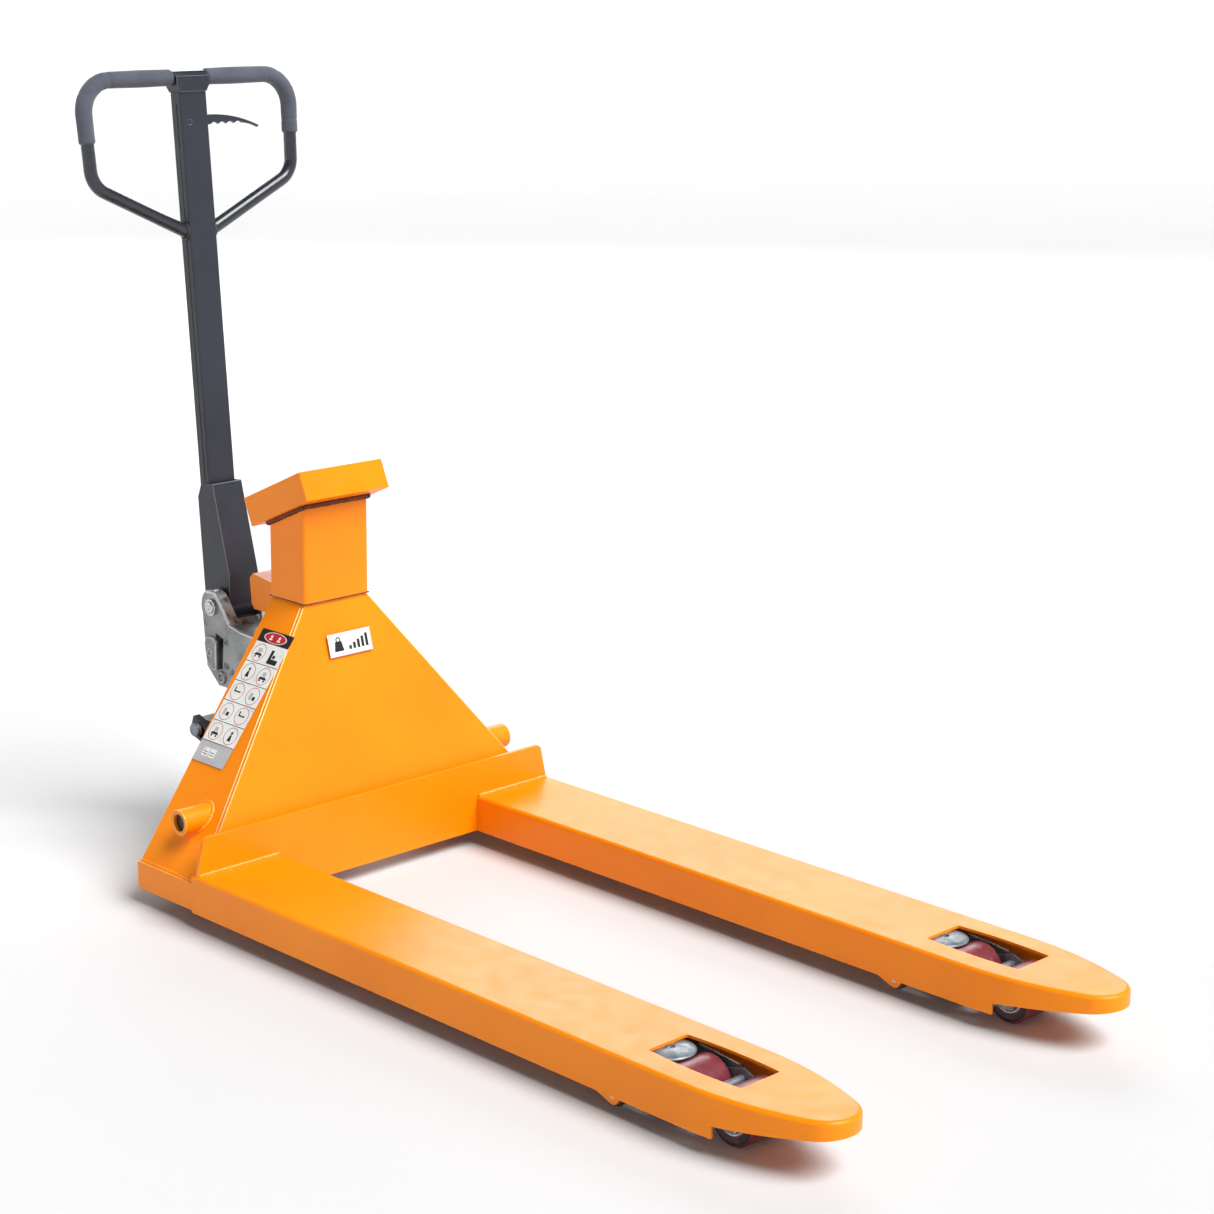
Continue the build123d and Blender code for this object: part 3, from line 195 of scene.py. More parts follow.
def moulded(name, colour, deep, rough, grain=1400.0, relief=0.00015, strength=0.5, sheen=0.0, scuffs=None):
    """Rubber, foam or plastic: fine moulded texture, tone that drifts, and optional rubs."""
    s = Shader(name)
    tone = s.mix(s.band(s.noise(25.0, 4.0, 0.6), 0.3, 0.7), colour, deep)
    if scuffs:
        tint, scale = scuffs
        tone = s.mix(s.band(s.noise(scale, 5.0, 0.7), 0.6, 0.68), tone, tint)
    s.colour(tone)
    s.roughness(s.band(s.noise(80.0, 3.0), 0.25, 0.75, rough - 0.08, rough + 0.08))
    s.bump((s.noise(grain, 2.0, 0.6), strength, relief), (s.noise(120.0, 2.0), 0.25, 0.0004))
    s.set(Sheen_Weight=sheen, Sheen_Roughness=0.5)
    return s.material


ORANGE = srgb(252, 142, 4)
ORANGE_DEEP = srgb(246, 134, 2)
ORANGE_WEAR_AND_HIGHLIGHT = srgb(255, 190, 84)
SLATE = srgb(42, 45, 56)

# The edge materials go on bevelled edges. Their lighter colours are painted edge highlights; the chips in
# the painted ones are real wear.
orange = paint("orange_powder_coat", ORANGE, ORANGE_DEEP, srgb(255, 156, 30), 0.34, 0.03, scuffs=0.72,
               gloss=0.28)
orange_edge = edge_wear_and_highlight("orange_edge", ORANGE_WEAR_AND_HIGHLIGHT, srgb(225, 150, 70), 0.26, 0.3, chipped=0.76)
# Weld paint: its paler tone and frequent pale rubs are partly wear and partly painted glints on the bead's
# ripples.
orange_weld_wear_and_glints = paint("orange_over_weld", ORANGE, srgb(240, 150, 30), ORANGE_WEAR_AND_HIGHLIGHT, 0.3, 0.35, grain=500.0,
                    relief=0.0004, scuffs=0.56)
slate = paint("slate_powder_coat", SLATE, srgb(37, 40, 50), srgb(70, 74, 86), 0.42, 0.1, grain=1100.0,
              relief=0.0002)
slate_edge = edge_wear_and_highlight("slate_edge", srgb(104, 108, 122), srgb(140, 144, 152), 0.4, 0.15, chipped=0.74)
slate_tube = paint("slate_tube", srgb(44, 47, 55), srgb(36, 39, 47), srgb(88, 92, 100), 0.26, 0.35,
                   grain=700.0)
foam = moulded("grip_foam", srgb(84, 88, 100), srgb(72, 76, 88), 0.86, grain=2200.0, relief=0.0003,
               strength=0.7, sheen=0.25)
black = paint("black_paint", srgb(36, 36, 38), srgb(28, 28, 30), srgb(70, 68, 66), 0.4, 0.15)
black_edge = edge_wear_and_highlight("black_edge", srgb(72, 72, 74), srgb(130, 128, 124), 0.4, 0.1)
zinc = galvanised("zinc_plate", srgb(156, 164, 170), srgb(122, 130, 137), 0.42)
zinc_edge = metal("zinc_edge", srgb(222, 225, 226), srgb(200, 204, 206), 0.3)
cast = metal("cast_body", srgb(158, 160, 160), srgb(118, 121, 122), 0.4, metallic=0.6, grain=420.0,
             relief=0.0006, strength=0.6, spots=(srgb(84, 86, 86), 34.0))
cast_edge = metal("cast_edge", srgb(214, 217, 218), srgb(176, 180, 182), 0.34, metallic=0.7, grain=300.0)
steel = metal("turned_steel", srgb(205, 205, 203), srgb(182, 183, 183), 0.26, grain=90.0,
              stretch=(1.0, 60.0, 1.0))
steel_edge_highlight = metal("turned_edge", srgb(228, 228, 226), srgb(206, 206, 206), 0.24)
milled = metal("milled_alloy", srgb(208, 210, 213), srgb(190, 193, 197), 0.32, grain=80.0,
               stretch=(1.0, 50.0, 50.0))
maroon = moulded("red_polyurethane", srgb(134, 58, 66), srgb(104, 42, 50), 0.36, grain=500.0, relief=0.0002,
                 scuffs=(srgb(150, 92, 96), 90.0))
tread = moulded("dark_polyurethane", srgb(44, 40, 42), srgb(32, 29, 31), 0.42, grain=500.0, relief=0.0002,
                scuffs=(srgb(84, 80, 80), 80.0))
panel = moulded("panel_plastic", srgb(56, 60, 66), srgb(48, 52, 58), 0.5)
board = moulded("board_mask", srgb(28, 96, 52), srgb(20, 78, 42), 0.35)
case = moulded("battery_case", srgb(40, 40, 46), srgb(30, 30, 36), 0.3)
keys = moulded("key_rubber", srgb(196, 198, 203), srgb(182, 184, 190), 0.6)
vinyl = moulded("label_vinyl", srgb(236, 236, 232), srgb(224, 225, 222), 0.38, grain=900.0, relief=0.00004,
                scuffs=(srgb(205, 203, 196), 60.0))
ink = moulded("label_ink", srgb(34, 34, 38), srgb(24, 24, 28), 0.4, grain=900.0, relief=0.00003)
red_ink = moulded("label_red", srgb(196, 40, 44), srgb(176, 30, 36), 0.4, grain=900.0, relief=0.00003)
# Dark brown for the line along the handle shaft's fold: painted crease shade.
crease_shade = moulded("dark_grease", srgb(34, 26, 20), srgb(22, 16, 12), 0.3, grain=300.0)


def window_glass():
    s = Shader("window_glass")
    s.colour(s.mix(s.band(s.noise(30.0, 2.0), 0.3, 0.7), srgb(176, 196, 178), srgb(168, 188, 172)))
    s.roughness(s.band(s.noise(200.0, 3.0), 0.2, 0.8, 0.05, 0.14))
    s.set(Transmission_Weight=0.85, IOR=1.49)
    return s.material


glass = window_glass()
# Pale paint for thin ridges along the A-frame's front corners: a painted highlight of the bend.
fold_line = edge_wear_and_highlight("fold_line", srgb(255, 214, 140), srgb(250, 190, 90), 0.24, 0.4, chipped=0.6)
# Darkened weld paint: painted shadow under the indicator box and along the column's foot.
dark_weld = paint("dark_weld", srgb(128, 58, 8), srgb(70, 34, 8), srgb(214, 120, 30), 0.4, 0.2, grain=500.0,
                  relief=0.0004, scuffs=0.62)
slate_weld = paint("slate_over_weld", srgb(44, 47, 57), srgb(34, 37, 45), srgb(92, 96, 106), 0.34, 0.25,
                   grain=500.0, relief=0.0003)
grey_vinyl = moulded("label_grey", srgb(186, 186, 188), srgb(172, 172, 176), 0.36, grain=900.0,
                     relief=0.00004)
lcd = moulded("display_film", srgb(150, 166, 140), srgb(140, 156, 132), 0.3, grain=700.0, relief=0.00003)

# body material and edge material (lighter: a painted edge highlight), edge width in millimetres
FINISH = {}


def finish(main, edge, width, *names):
    for name in names:
        FINISH[name] = (main, edge, width)


finish(orange, orange_edge, 1.2, "heel_plate", "a_frame_front", "a_frame_side_left", "a_frame_side_right",
       "column", "indicator_housing")
finish(orange, orange_edge, 0.8, "rear_base", "rocker_bosses", "lift_head", "inner_fork_left",
       "inner_fork_right")
finish(orange, orange_edge, 0.6, "fork_shell_left", "fork_shell_right")
finish(slate, slate_edge, 0.8, "handle_sleeve", "handle_shaft", "handle_cap", "release_lever")
finish(slate_tube, slate_edge, 0.0, "handle_loop")
finish(foam, foam, 0.0, "grips")
finish(black, black_edge, 0.8, "rocker", "carrier")
finish(cast, cast_edge, 1.6, "pump_casting")
finish(zinc, zinc_edge, 0.6, "yoke_left", "yoke_right", "bogie_left", "bogie_right", "push_rod_left",
       "push_rod_right")
finish(slate, slate_edge, 0.5, "lever_pin")
finish(steel, steel_edge_highlight, 0.6, "pivot_pin", "steer_axle", "plunger", "cam_roller", "release_rod",
       "piston_rod", "fork_pins", "panel_screws", "wheel_hub_left", "wheel_hub_right", "valve_lever")
finish(steel, steel_edge_highlight, 0.0, "plunger_spring")
finish(milled, steel_edge_highlight, 0.6, "load_cells")
finish(tread, tread, 0.0, "wheel_tyre_left", "wheel_tyre_right")
finish(panel, panel, 0.4, "indicator_panel")
finish(glass, glass, 0.0, "display_window")
finish(board, board, 0.0, "circuit_board")
finish(case, case, 0.6, "battery")
finish(keys, keys, 0.5, "key_1", "key_2", "key_3", "key_4")
for side in SIDES:
    for place in ("rear", "front"):
        finish(maroon, maroon, 0.0, f"load_roller_{place}_{side}")
    for place in ("outer", "inner"):
        finish(tread, tread, 0.0, f"entry_roller_{place}_{side}")


def soften(piece, width, segments=2):
    """Round the piece's sharp edges, giving the rounded strip the second material, whose lighter colour is
    a painted edge highlight.
    """
    weld = piece.modifiers.new("weld", "WELD")
    weld.merge_threshold = 0.00001
    bevel = piece.modifiers.new("round", "BEVEL")
    bevel.width = width * MM
    bevel.segments = segments
    bevel.limit_method = "ANGLE"
    bevel.angle_limit = math.radians(32)
    bevel.use_clamp_overlap = True
    bevel.harden_normals = False
    bevel.material = 1
    smooth = piece.modifiers.new("normals", "WEIGHTED_NORMAL")
    smooth.keep_sharp = True


for name, node in nodes.items():
    main, edge, width = FINISH[name]
    node.data.materials.clear()
    node.data.materials.append(main)
    node.data.materials.append(edge)
    if width:
        soften(node, width)

# ---------------------------------------------------------------- mesh helpers
def surface_of_turn(name, profile, place, axis, segments=48):
    """Mesh object made by turning a profile of (radius, height) points about an axis through place."""
    mesh = bmesh.new()
    axis = Vector(axis).normalized()
    across = axis.orthogonal().normalized()
    beside = axis.cross(across)
    rings = []
    for radius, height in profile:
        centre = Vector(place) + axis * height
        if radius < 1e-7:
            rings.append([mesh.verts.new(centre)])
            continue
        turns = [2 * math.pi * k / segments for k in range(segments)]
        rim = [centre + (across * math.cos(t) + beside * math.sin(t)) * radius for t in turns]
        rings.append([mesh.verts.new(spot) for spot in rim])
    for low, high in zip(rings, rings[1:]):
        for k in range(segments):
            after = (k + 1) % segments
            corners = [low[k % len(low)], low[after % len(low)], high[after % len(high)],
                       high[k % len(high)]]
            corners = [v for i, v in enumerate(corners) if v not in corners[:i]]
            mesh.faces.new(corners)
    bmesh.ops.recalc_face_normals(mesh, faces=mesh.faces)
    return as_object(name, mesh)


def as_object(name, mesh, smooth=True):
    data = bpy.data.meshes.new(name)
    for face in mesh.faces:
        face.smooth = smooth
    mesh.to_mesh(data)
    mesh.free()
    piece = bpy.data.objects.new(name, data)
    bpy.context.scene.collection.objects.link(piece)
    return piece


def sweep(name, points, radius, sides=12, ripple=0.0, pitch=0.0026, closed=False):
    """Round bar along points. Radius is a number or a function of distance. Ripple scallops the bar."""
    mesh = bmesh.new()
    points = [Vector(p) for p in points]
    count = len(points)
    normal, rings, distance = None, [], 0.0
    for i, point in enumerate(points):
        before = points[i - 1] if i or closed else point
        after = points[(i + 1) % count] if i + 1 < count or closed else point
        tangent = (after - before).normalized()
        if i:
            distance += (point - points[i - 1]).length
        if normal is None:
            normal = tangent.orthogonal().normalized()
        normal = (normal - tangent * normal.dot(tangent)).normalized()
        beside = tangent.cross(normal)
        size = radius(distance) if callable(radius) else radius
        if ripple:
            size *= 1 + ripple * math.sin(2 * math.pi * distance / pitch) + rng.uniform(-0.1, 0.1)
        turns = [2 * math.pi * k / sides for k in range(sides)]
        rim = [point + (normal * math.cos(t) + beside * math.sin(t)) * size for t in turns]
        rings.append([mesh.verts.new(spot) for spot in rim])
    pairs = list(zip(rings, rings[1:])) + ([(rings[-1], rings[0])] if closed else [])
    for low, high in pairs:
        for k in range(sides):
            mesh.faces.new((low[k], low[(k + 1) % sides], high[(k + 1) % sides], high[k]))
    if not closed:
        mesh.faces.new(rings[0])
        mesh.faces.new(rings[-1])
    bmesh.ops.recalc_face_normals(mesh, faces=mesh.faces)
    return as_object(name, mesh)


def spaced(points, step):
    """The points of a polyline at about every step."""
    found = []
    for a, b in zip(points, points[1:]):
        a, b = Vector(a), Vector(b)
        count = max(1, round((b - a).length / step))
        found += [a.lerp(b, k / count) for k in range(count)]
    return found + [Vector(points[-1])]


def dressed(piece, body, slot, *materials):
    for material in materials:
        piece.data.materials.append(material)
    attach(piece, body)
    return piece


def weld(name, points, body="chassis", radius=0.0024, slot="orange_paint", material=None, closed=False,
         ripple=0.14):
    bead = sweep(name, spaced(points, 0.0007), radius, 10, ripple=ripple, closed=closed)
    return dressed(bead, body, slot, material or orange_weld_wear_and_glints)


def turned(name, profile, place, axis, body, slot, *materials, segments=48, bevel=0.0):
    """A turned piece. Profile is (radius, height) in millimetres from place, which is in metres."""
    piece = surface_of_turn(name, [(r * MM, h * MM) for r, h in profile], place, axis, segments)
    dressed(piece, body, slot, *materials)
    if bevel:
        rounding = piece.modifiers.new("round", "BEVEL")
        rounding.width = bevel * MM
        rounding.segments = 2
        rounding.angle_limit = math.radians(30)
        piece.modifiers.new("normals", "WEIGHTED_NORMAL")
    return piece


def slab(name, outline, y0, y1):
    """Flat piece with its outline in x and z and its faces at y0 and y1, all in millimetres."""
    mesh = bmesh.new()
    low = [mesh.verts.new(Vector((x, y0, z)) * MM) for x, z in outline]
    high = [mesh.verts.new(Vector((x, y1, z)) * MM) for x, z in outline]
    for k in range(len(outline)):
        after = (k + 1) % len(outline)
        mesh.faces.new((low[k], low[after], high[after], high[k]))
    mesh.faces.new(low)
    mesh.faces.new(high)
    bmesh.ops.recalc_face_normals(mesh, faces=mesh.faces)
    return as_object(name, mesh)


class Plate:
    """Thin printed plate. Marks stand a little proud, in millimetres right and up from its origin."""

    def __init__(self, origin, right, up):
        self.mesh = bmesh.new()
        self.origin = Vector(origin)
        self.right = Vector(right).normalized()
        self.normal = self.right.cross(Vector(up)).normalized()
        self.up = self.normal.cross(self.right)

    def at(self, x, y, lift):
        return self.origin + (self.right * x + self.up * y + self.normal * lift) * MM

    def area(self, outline, material=0, lift=0.3, hole=None):
        """Solid patch from the plate's plane up to lift. With a hole of as many points it is a ring."""
        count = len(outline)
        loops = [outline] if hole is None else [outline, hole]
        low = [[self.mesh.verts.new(self.at(x, y, 0.02)) for x, y in loop] for loop in loops]
        high = [[self.mesh.verts.new(self.at(x, y, lift)) for x, y in loop] for loop in loops]
        faces = []
        for bottom, top in zip(low, high):
            faces += [(bottom[k], bottom[(k + 1) % count], top[(k + 1) % count], top[k])
                      for k in range(count)]
        if hole is None:
            faces += [tuple(high[0]), tuple(low[0])]
        else:
            for outer, inner in (high, low):
                faces += [(outer[k], outer[(k + 1) % count], inner[(k + 1) % count], inner[k])
                          for k in range(count)]
        for corners in faces:
            self.mesh.faces.new(corners).material_index = material

    def block(self, x0, y0, x1, y1, material=0, lift=0.3):
        self.area([(x0, y0), (x1, y0), (x1, y1), (x0, y1)], material, lift)

    def disc(self, x, y, radius, material=0, lift=0.3, inner=0.0, flat=1.0, count=32):
        def round_at(r):
            turns = [2 * math.pi * k / count for k in range(count)]
            return [(x + r * math.cos(t), y + r * flat * math.sin(t)) for t in turns]
        self.area(round_at(radius), material, lift, round_at(inner) if inner else None)

    def done(self, name, body, slot, *materials):
        bmesh.ops.recalc_face_normals(self.mesh, faces=self.mesh.faces)
        return dressed(as_object(name, self.mesh, smooth=False), body, slot, *materials)


# ---------------------------------------------------------------- places, in millimetres
heel_x = -347
fork_y = 267.5
rocker_x, rocker_z = heel_x - 76, 136
steer_x, wheel_z = heel_x - 262, 90
pivot_x, pivot_z = heel_x - 347, 358
cam_reach, cam_angle = 38, math.radians(37.5)
plunger_x = pivot_x - cam_reach / 2 * (1 + math.cos(cam_angle))
spring_foot, spring_head = 303, 363.6
shaft_ahead, shaft_half = -26, 25
yoke_x, bogie_x = 465, 599
frame_foot_z, frame_top_z = 82, 411
column_front, column_rear, column_half = heel_x - 98.7, heel_x - 181.6, 61.4
box_edge_x, box_edge_z, box_half_length = heel_x - 67.5, 575.5, 74
lean, indicator_tilt = math.radians(4.8), math.radians(24.1)
forward = Vector((math.cos(lean), 0, math.sin(lean)))
along = Vector((-math.sin(lean), 0, math.cos(lean)))
panel_up = Vector((math.cos(indicator_tilt), 0, math.sin(indicator_tilt)))
panel_out = Vector((-math.sin(indicator_tilt), 0, math.cos(indicator_tilt)))
panel_centre = Vector((box_edge_x, 0, box_edge_z)) - panel_up * box_half_length


def mm(x, y, z):
    return Vector((x, y, z)) * MM


def on_shaft(y, s, ahead=0.0):
    """Point of the handle: y across, s up from the pivot, ahead of the shaft's centre line."""
    return (Vector((pivot_x, y, pivot_z)) + forward * (ahead + shaft_ahead) + along * s) * MM


def frame_edge(z):
    """Front x, rear x and half width of the A-frame at height z."""
    share = (z - frame_foot_z) / (frame_top_z - frame_foot_z)
    return heel_x - 12.5 - 90 * share, heel_x - 151.5 - 26.5 * share, 317 - 259.5 * share


def circle(count, across, up):
    """Offsets round an ellipse with these two radii."""
    turns = [2 * math.pi * k / count for k in range(count)]
    return [(across * math.cos(t), up * math.sin(t)) for t in turns]


# ---------------------------------------------------------------- welds, and painted highlight and shade lines along folds
heel_weld_x, heel_weld_z = heel_x + 0.8, 80.6
base_weld_z = 65.2
collar_radius = 19.5
fold_foot_z, fold_top_z = 92, 405
loop_weld_s = 577.9
fold_foot_s, fold_top_s = 194, 770

for name, side in SIDES.items():
    heel_ends = [mm(heel_weld_x, side * 196, heel_weld_z), mm(heel_weld_x, side * 337, heel_weld_z)]
    weld(f"weld_heel_{name}", heel_ends, radius=0.0032)
    foot_front, foot_rear, foot_half = frame_edge(64.5)
    base_ends = [
        mm(foot_rear + 2, side * foot_half, base_weld_z),
        mm(foot_front - 8, side * foot_half, base_weld_z),
    ]
    weld(f"weld_base_{name}", base_ends)
    collar = []
    for ahead, rise in circle(60, collar_radius, collar_radius):
        z = rocker_z + rise
        collar.append(mm(rocker_x + ahead, side * (frame_edge(z)[2] + 0.5), z))
    weld(f"weld_boss_{name}", collar, radius=0.0026, closed=True)
    low_front, _, low_half = frame_edge(fold_foot_z)
    top_front, _, top_half = frame_edge(fold_top_z)
    # Two pale ridges along each front corner of the A-frame: painted highlight lines of the bend.
    for label, inset, size in (("inner", 7.5, 0.0011), ("outer", 1.2, 0.0009)):
        fold_ends = [
            mm(low_front - inset, side * (low_half + 0.1), fold_foot_z),
            mm(top_front - inset, side * (top_half + 0.1), fold_top_z),
        ]
        dressed(sweep(f"fold_{label}_{name}", fold_ends, size), "chassis", "orange_paint", fold_line)
    loop_ring = [
        on_shaft(side * (shaft_half + 0.6), loop_weld_s + rise, ahead)
        for rise, ahead in circle(40, 12.2, 10.4)
    ]
    weld(f"weld_loop_{name}", loop_ring, "handle", 0.0021, "dark_paint", slate_weld, closed=True)
    # A thin dark line along the fold near the shaft's front edge: painted shade of the crease.
    groove_ends = [on_shaft(side * (shaft_half + 0.1), s, 1.8) for s in (fold_foot_s, fold_top_s)]
    groove = sweep(f"shaft_fold_{name}", groove_ends, 0.00055, 6)
    dressed(groove, "handle", "dark_paint", crease_shade)


def column_corners(clear, height):
    """The column's corners, this far outside it, from the right front one round to the right rear one."""
    corners = [
        (column_front + clear, -column_half - clear),
        (column_front + clear, column_half + clear),
        (column_rear - clear, column_half + clear),
        (column_rear - clear, -column_half - clear),
    ]
    return [mm(x, y, height(x)) for x, y in corners]


def under_box(x):
    """Height just under the indicator box, where the column meets it."""
    return box_edge_z + (x - box_edge_x) * math.tan(indicator_tilt) - 1.6


ring = column_corners(0.8, under_box)
# The welds under the box's front and sides are darkened: painted shadow under the indicator box.
weld("weld_box_front", ring[:2], radius=0.0042, material=dark_weld, ripple=0.3)
weld("weld_box_left", ring[1:3], radius=0.0036, material=dark_weld, ripple=0.3)
weld("weld_box_rear", ring[2:4], radius=0.003)
weld("weld_box_right", [ring[3], ring[0]], radius=0.0042, material=dark_weld, ripple=0.3)
# Thin dark ring round the column's foot: painted shadow along the joint.
seam = sweep("column_seam", column_corners(0.2, lambda x: frame_top_z - 0.4), 0.0009, 8, closed=True)
dressed(seam, "chassis", "orange_paint", dark_weld)

# ---------------------------------------------------------------- labels
WHITE, BLACK, RED, GREY = range(4)
PRINT = 0.4  # height of print over the label's plane

strip_width, strip_height, header_height, row_count = 74, 222, 21, 6
row_height = (strip_height - header_height) / row_count
header_foot, header_mid = strip_height - header_height, strip_height - header_height / 2
middle = strip_width / 2
slope = Vector((0, 259.5, 329)).normalized()
strip = Plate(mm(-506.4, -229.2, 195.2), (1, 0, 0), Vector((-0.075, slope.y, slope.z)))
strip.block(0, 0, strip_width, row_height, GREY, 0.3)
strip.block(0, row_height, strip_width, header_foot, WHITE, 0.3)
strip.block(0, header_foot, strip_width, strip_height, BLACK, 0.3)
strip.disc(middle, header_mid, 26, WHITE, 0.38, flat=0.34)
strip.disc(middle, header_mid, 24, RED, 0.44, flat=0.33)
for spot in (middle - 9, middle + 9):
    strip.disc(spot, header_mid + 1.4, 2.4, WHITE, 0.5)
    strip.block(spot - 3.4, header_mid - 4.4, spot + 3.4, header_mid - 1.6, WHITE, 0.5)


def pictogram(plate, x, y, kind):
    """Generic sign of lines, dots and blocks in a thin ring."""
    plate.disc(x, y, 14.2, RED, PRINT, inner=13.3)
    if kind == 0:
        plate.block(x - 8, y - 1, x + 7, y + 1.2, BLACK, PRINT)
        plate.block(x - 8, y + 1.2, x - 5.5, y + 7, BLACK, PRINT)
    elif kind == 1:
        plate.disc(x, y + 5, 2.4, BLACK, PRINT)
        plate.area([(x - 4, y - 8), (x + 4, y - 8), (x + 1.6, y + 2), (x - 1.6, y + 2)], BLACK, PRINT)
    elif kind == 2:
        plate.area([(x - 9, y - 5), (x + 9, y - 5), (x + 6, y - 1), (x - 6, y - 1)], BLACK, PRINT)
        plate.disc(x - 5, y - 7, 1.8, BLACK, PRINT)
        plate.disc(x + 5, y - 7, 1.8, BLACK, PRINT)
        plate.block(x - 4, y, x + 4, y + 7, GREY, PRINT)
    else:
        plate.block(x - 7, y - 6, x - 1, y + 5, GREY, PRINT)
        plate.block(x + 1, y - 6, x + 7, y, BLACK, PRINT)


for row in range(1, row_count):
    row_foot = row * row_height
    strip.block(0, row_foot - 0.5, strip_width, row_foot + 0.5, BLACK, 0.42)
    row_mid = row_foot + row_height / 2
    pictogram(strip, 18.5, row_mid, (row + 1) % 4)
    if row == row_count - 1:
        strip.block(44, row_mid - 13, 50, row_mid + 9, BLACK, PRINT)
        strip.block(50, row_mid - 13, 66, row_mid - 5, BLACK, PRINT)
        strip.disc(54, row_mid - 1, 3, BLACK, PRINT)
    else:
        pictogram(strip, 54.5, row_mid, (row * 3 + 2) % 4)
for leaf in (14, 30):
    strip.block(leaf, 10, leaf + 14, 24, WHITE, PRINT)
    for line_foot in (13, 17):
        strip.block(leaf + 2, line_foot, leaf + 12, line_foot + 1, BLACK, 0.46)
strip.done("side_label", "chassis", "panel_plastic", vinyl, ink, red_ink, grey_vinyl)

half_wide, half_high, rule = 41, 17.5, 0.6
front_out = Vector((0.9645, 0, 0.2639))
capacity = Plate(mm(-428.0, 8.8, 344.6) + front_out * 0.0003, (0, 1, 0), (-0.2639, 0, 0.9645))
capacity.block(-half_wide, -half_high, half_wide, half_high, WHITE, 0.5)
capacity.block(-half_wide, -half_high, half_wide, rule - half_high, GREY, 0.56)
capacity.block(-half_wide, half_high - rule, half_wide, half_high, GREY, 0.56)
capacity.block(-half_wide, rule - half_high, rule - half_wide, half_high - rule, GREY, 0.56)
capacity.block(half_wide - rule, rule - half_high, half_wide, half_high - rule, GREY, 0.56)
capacity.area([(-31, -10), (-13, -10), (-16, 5), (-28, 5)], BLACK, 0.6)
capacity.disc(-22, 7.4, 4.4, BLACK, 0.6, inner=2.6)
for step in range(5):
    capacity.block(-3 + 8 * step, -10, 2 + 8 * step, -4 + 3.4 * step, BLACK, 0.6)
capacity.done("capacity_label", "chassis", "panel_plastic", vinyl, ink, red_ink, grey_vinyl)

# ---------------------------------------------------------------- foam grips
corner_radius, corner_y, corner_s = 48, 142.1, 760
grip_start, top_s = 31, 808
path = [(grip_start + 3 * k, top_s) for k in range(37)]
for degrees in range(90, -3, -2):
    angle = math.radians(degrees)
    path.append((corner_y + corner_radius * math.cos(angle), corner_s + corner_radius * math.sin(angle)))
path += [(190.06 - 0.117 * k, 758.1 - 3 * k) for k in range(1, 15)]
foam_length = sum(math.dist(a, b) for a, b in zip(path, path[1:]))

for name, side in SIDES.items():
    creases = [rng.uniform(100, 215) for _ in range(9)]

    def foam_radius(distance, creases=creases):
        """Radius at this distance along the grip: a slow swell, fine creases and rounded ends."""
        reach = distance / MM
        size = 12.7 - 0.25 * math.cos(reach / 17)
        for crease in creases:
            size -= 0.35 * math.exp(-((reach - crease) / 1.6) ** 2)
        for end in (0.0, foam_length):
            size -= 3.0 * max(0.0, 1 - abs(reach - end) / 3.5) ** 2
        return size * MM

    fine = spaced([on_shaft(side * y, s) for y, s in path], 0.0013)
    grip = sweep(f"grip_foam_{name}", fine, foam_radius, 40)
    dressed(grip, "handle", "grip_rubber", foam)
    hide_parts("grips")

# ---------------------------------------------------------------- plunger spring
spring_turns, spring_wire, spring_radius, steps_a_turn = 4.5, 1.5, 10.5, 28
rise_height = spring_head - spring_foot - 2 * spring_wire
coil = []
for step in range(int(spring_turns * steps_a_turn) + 1):
    turn = 2 * math.pi * step / steps_a_turn
    share = step / (spring_turns * steps_a_turn)
    rise = min(max((share - 0.06) / 0.88, 0.0), 1.0)  # flat at both ends
    z = spring_foot + spring_wire + rise * rise_height
    coil.append(mm(plunger_x + spring_radius * math.cos(turn), spring_radius * math.sin(turn), z))
spring = sweep("plunger_coil", coil, spring_wire * MM, 12)
dressed(spring, "pump", "bright_steel", steel)
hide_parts("plunger_spring")
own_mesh(spring)

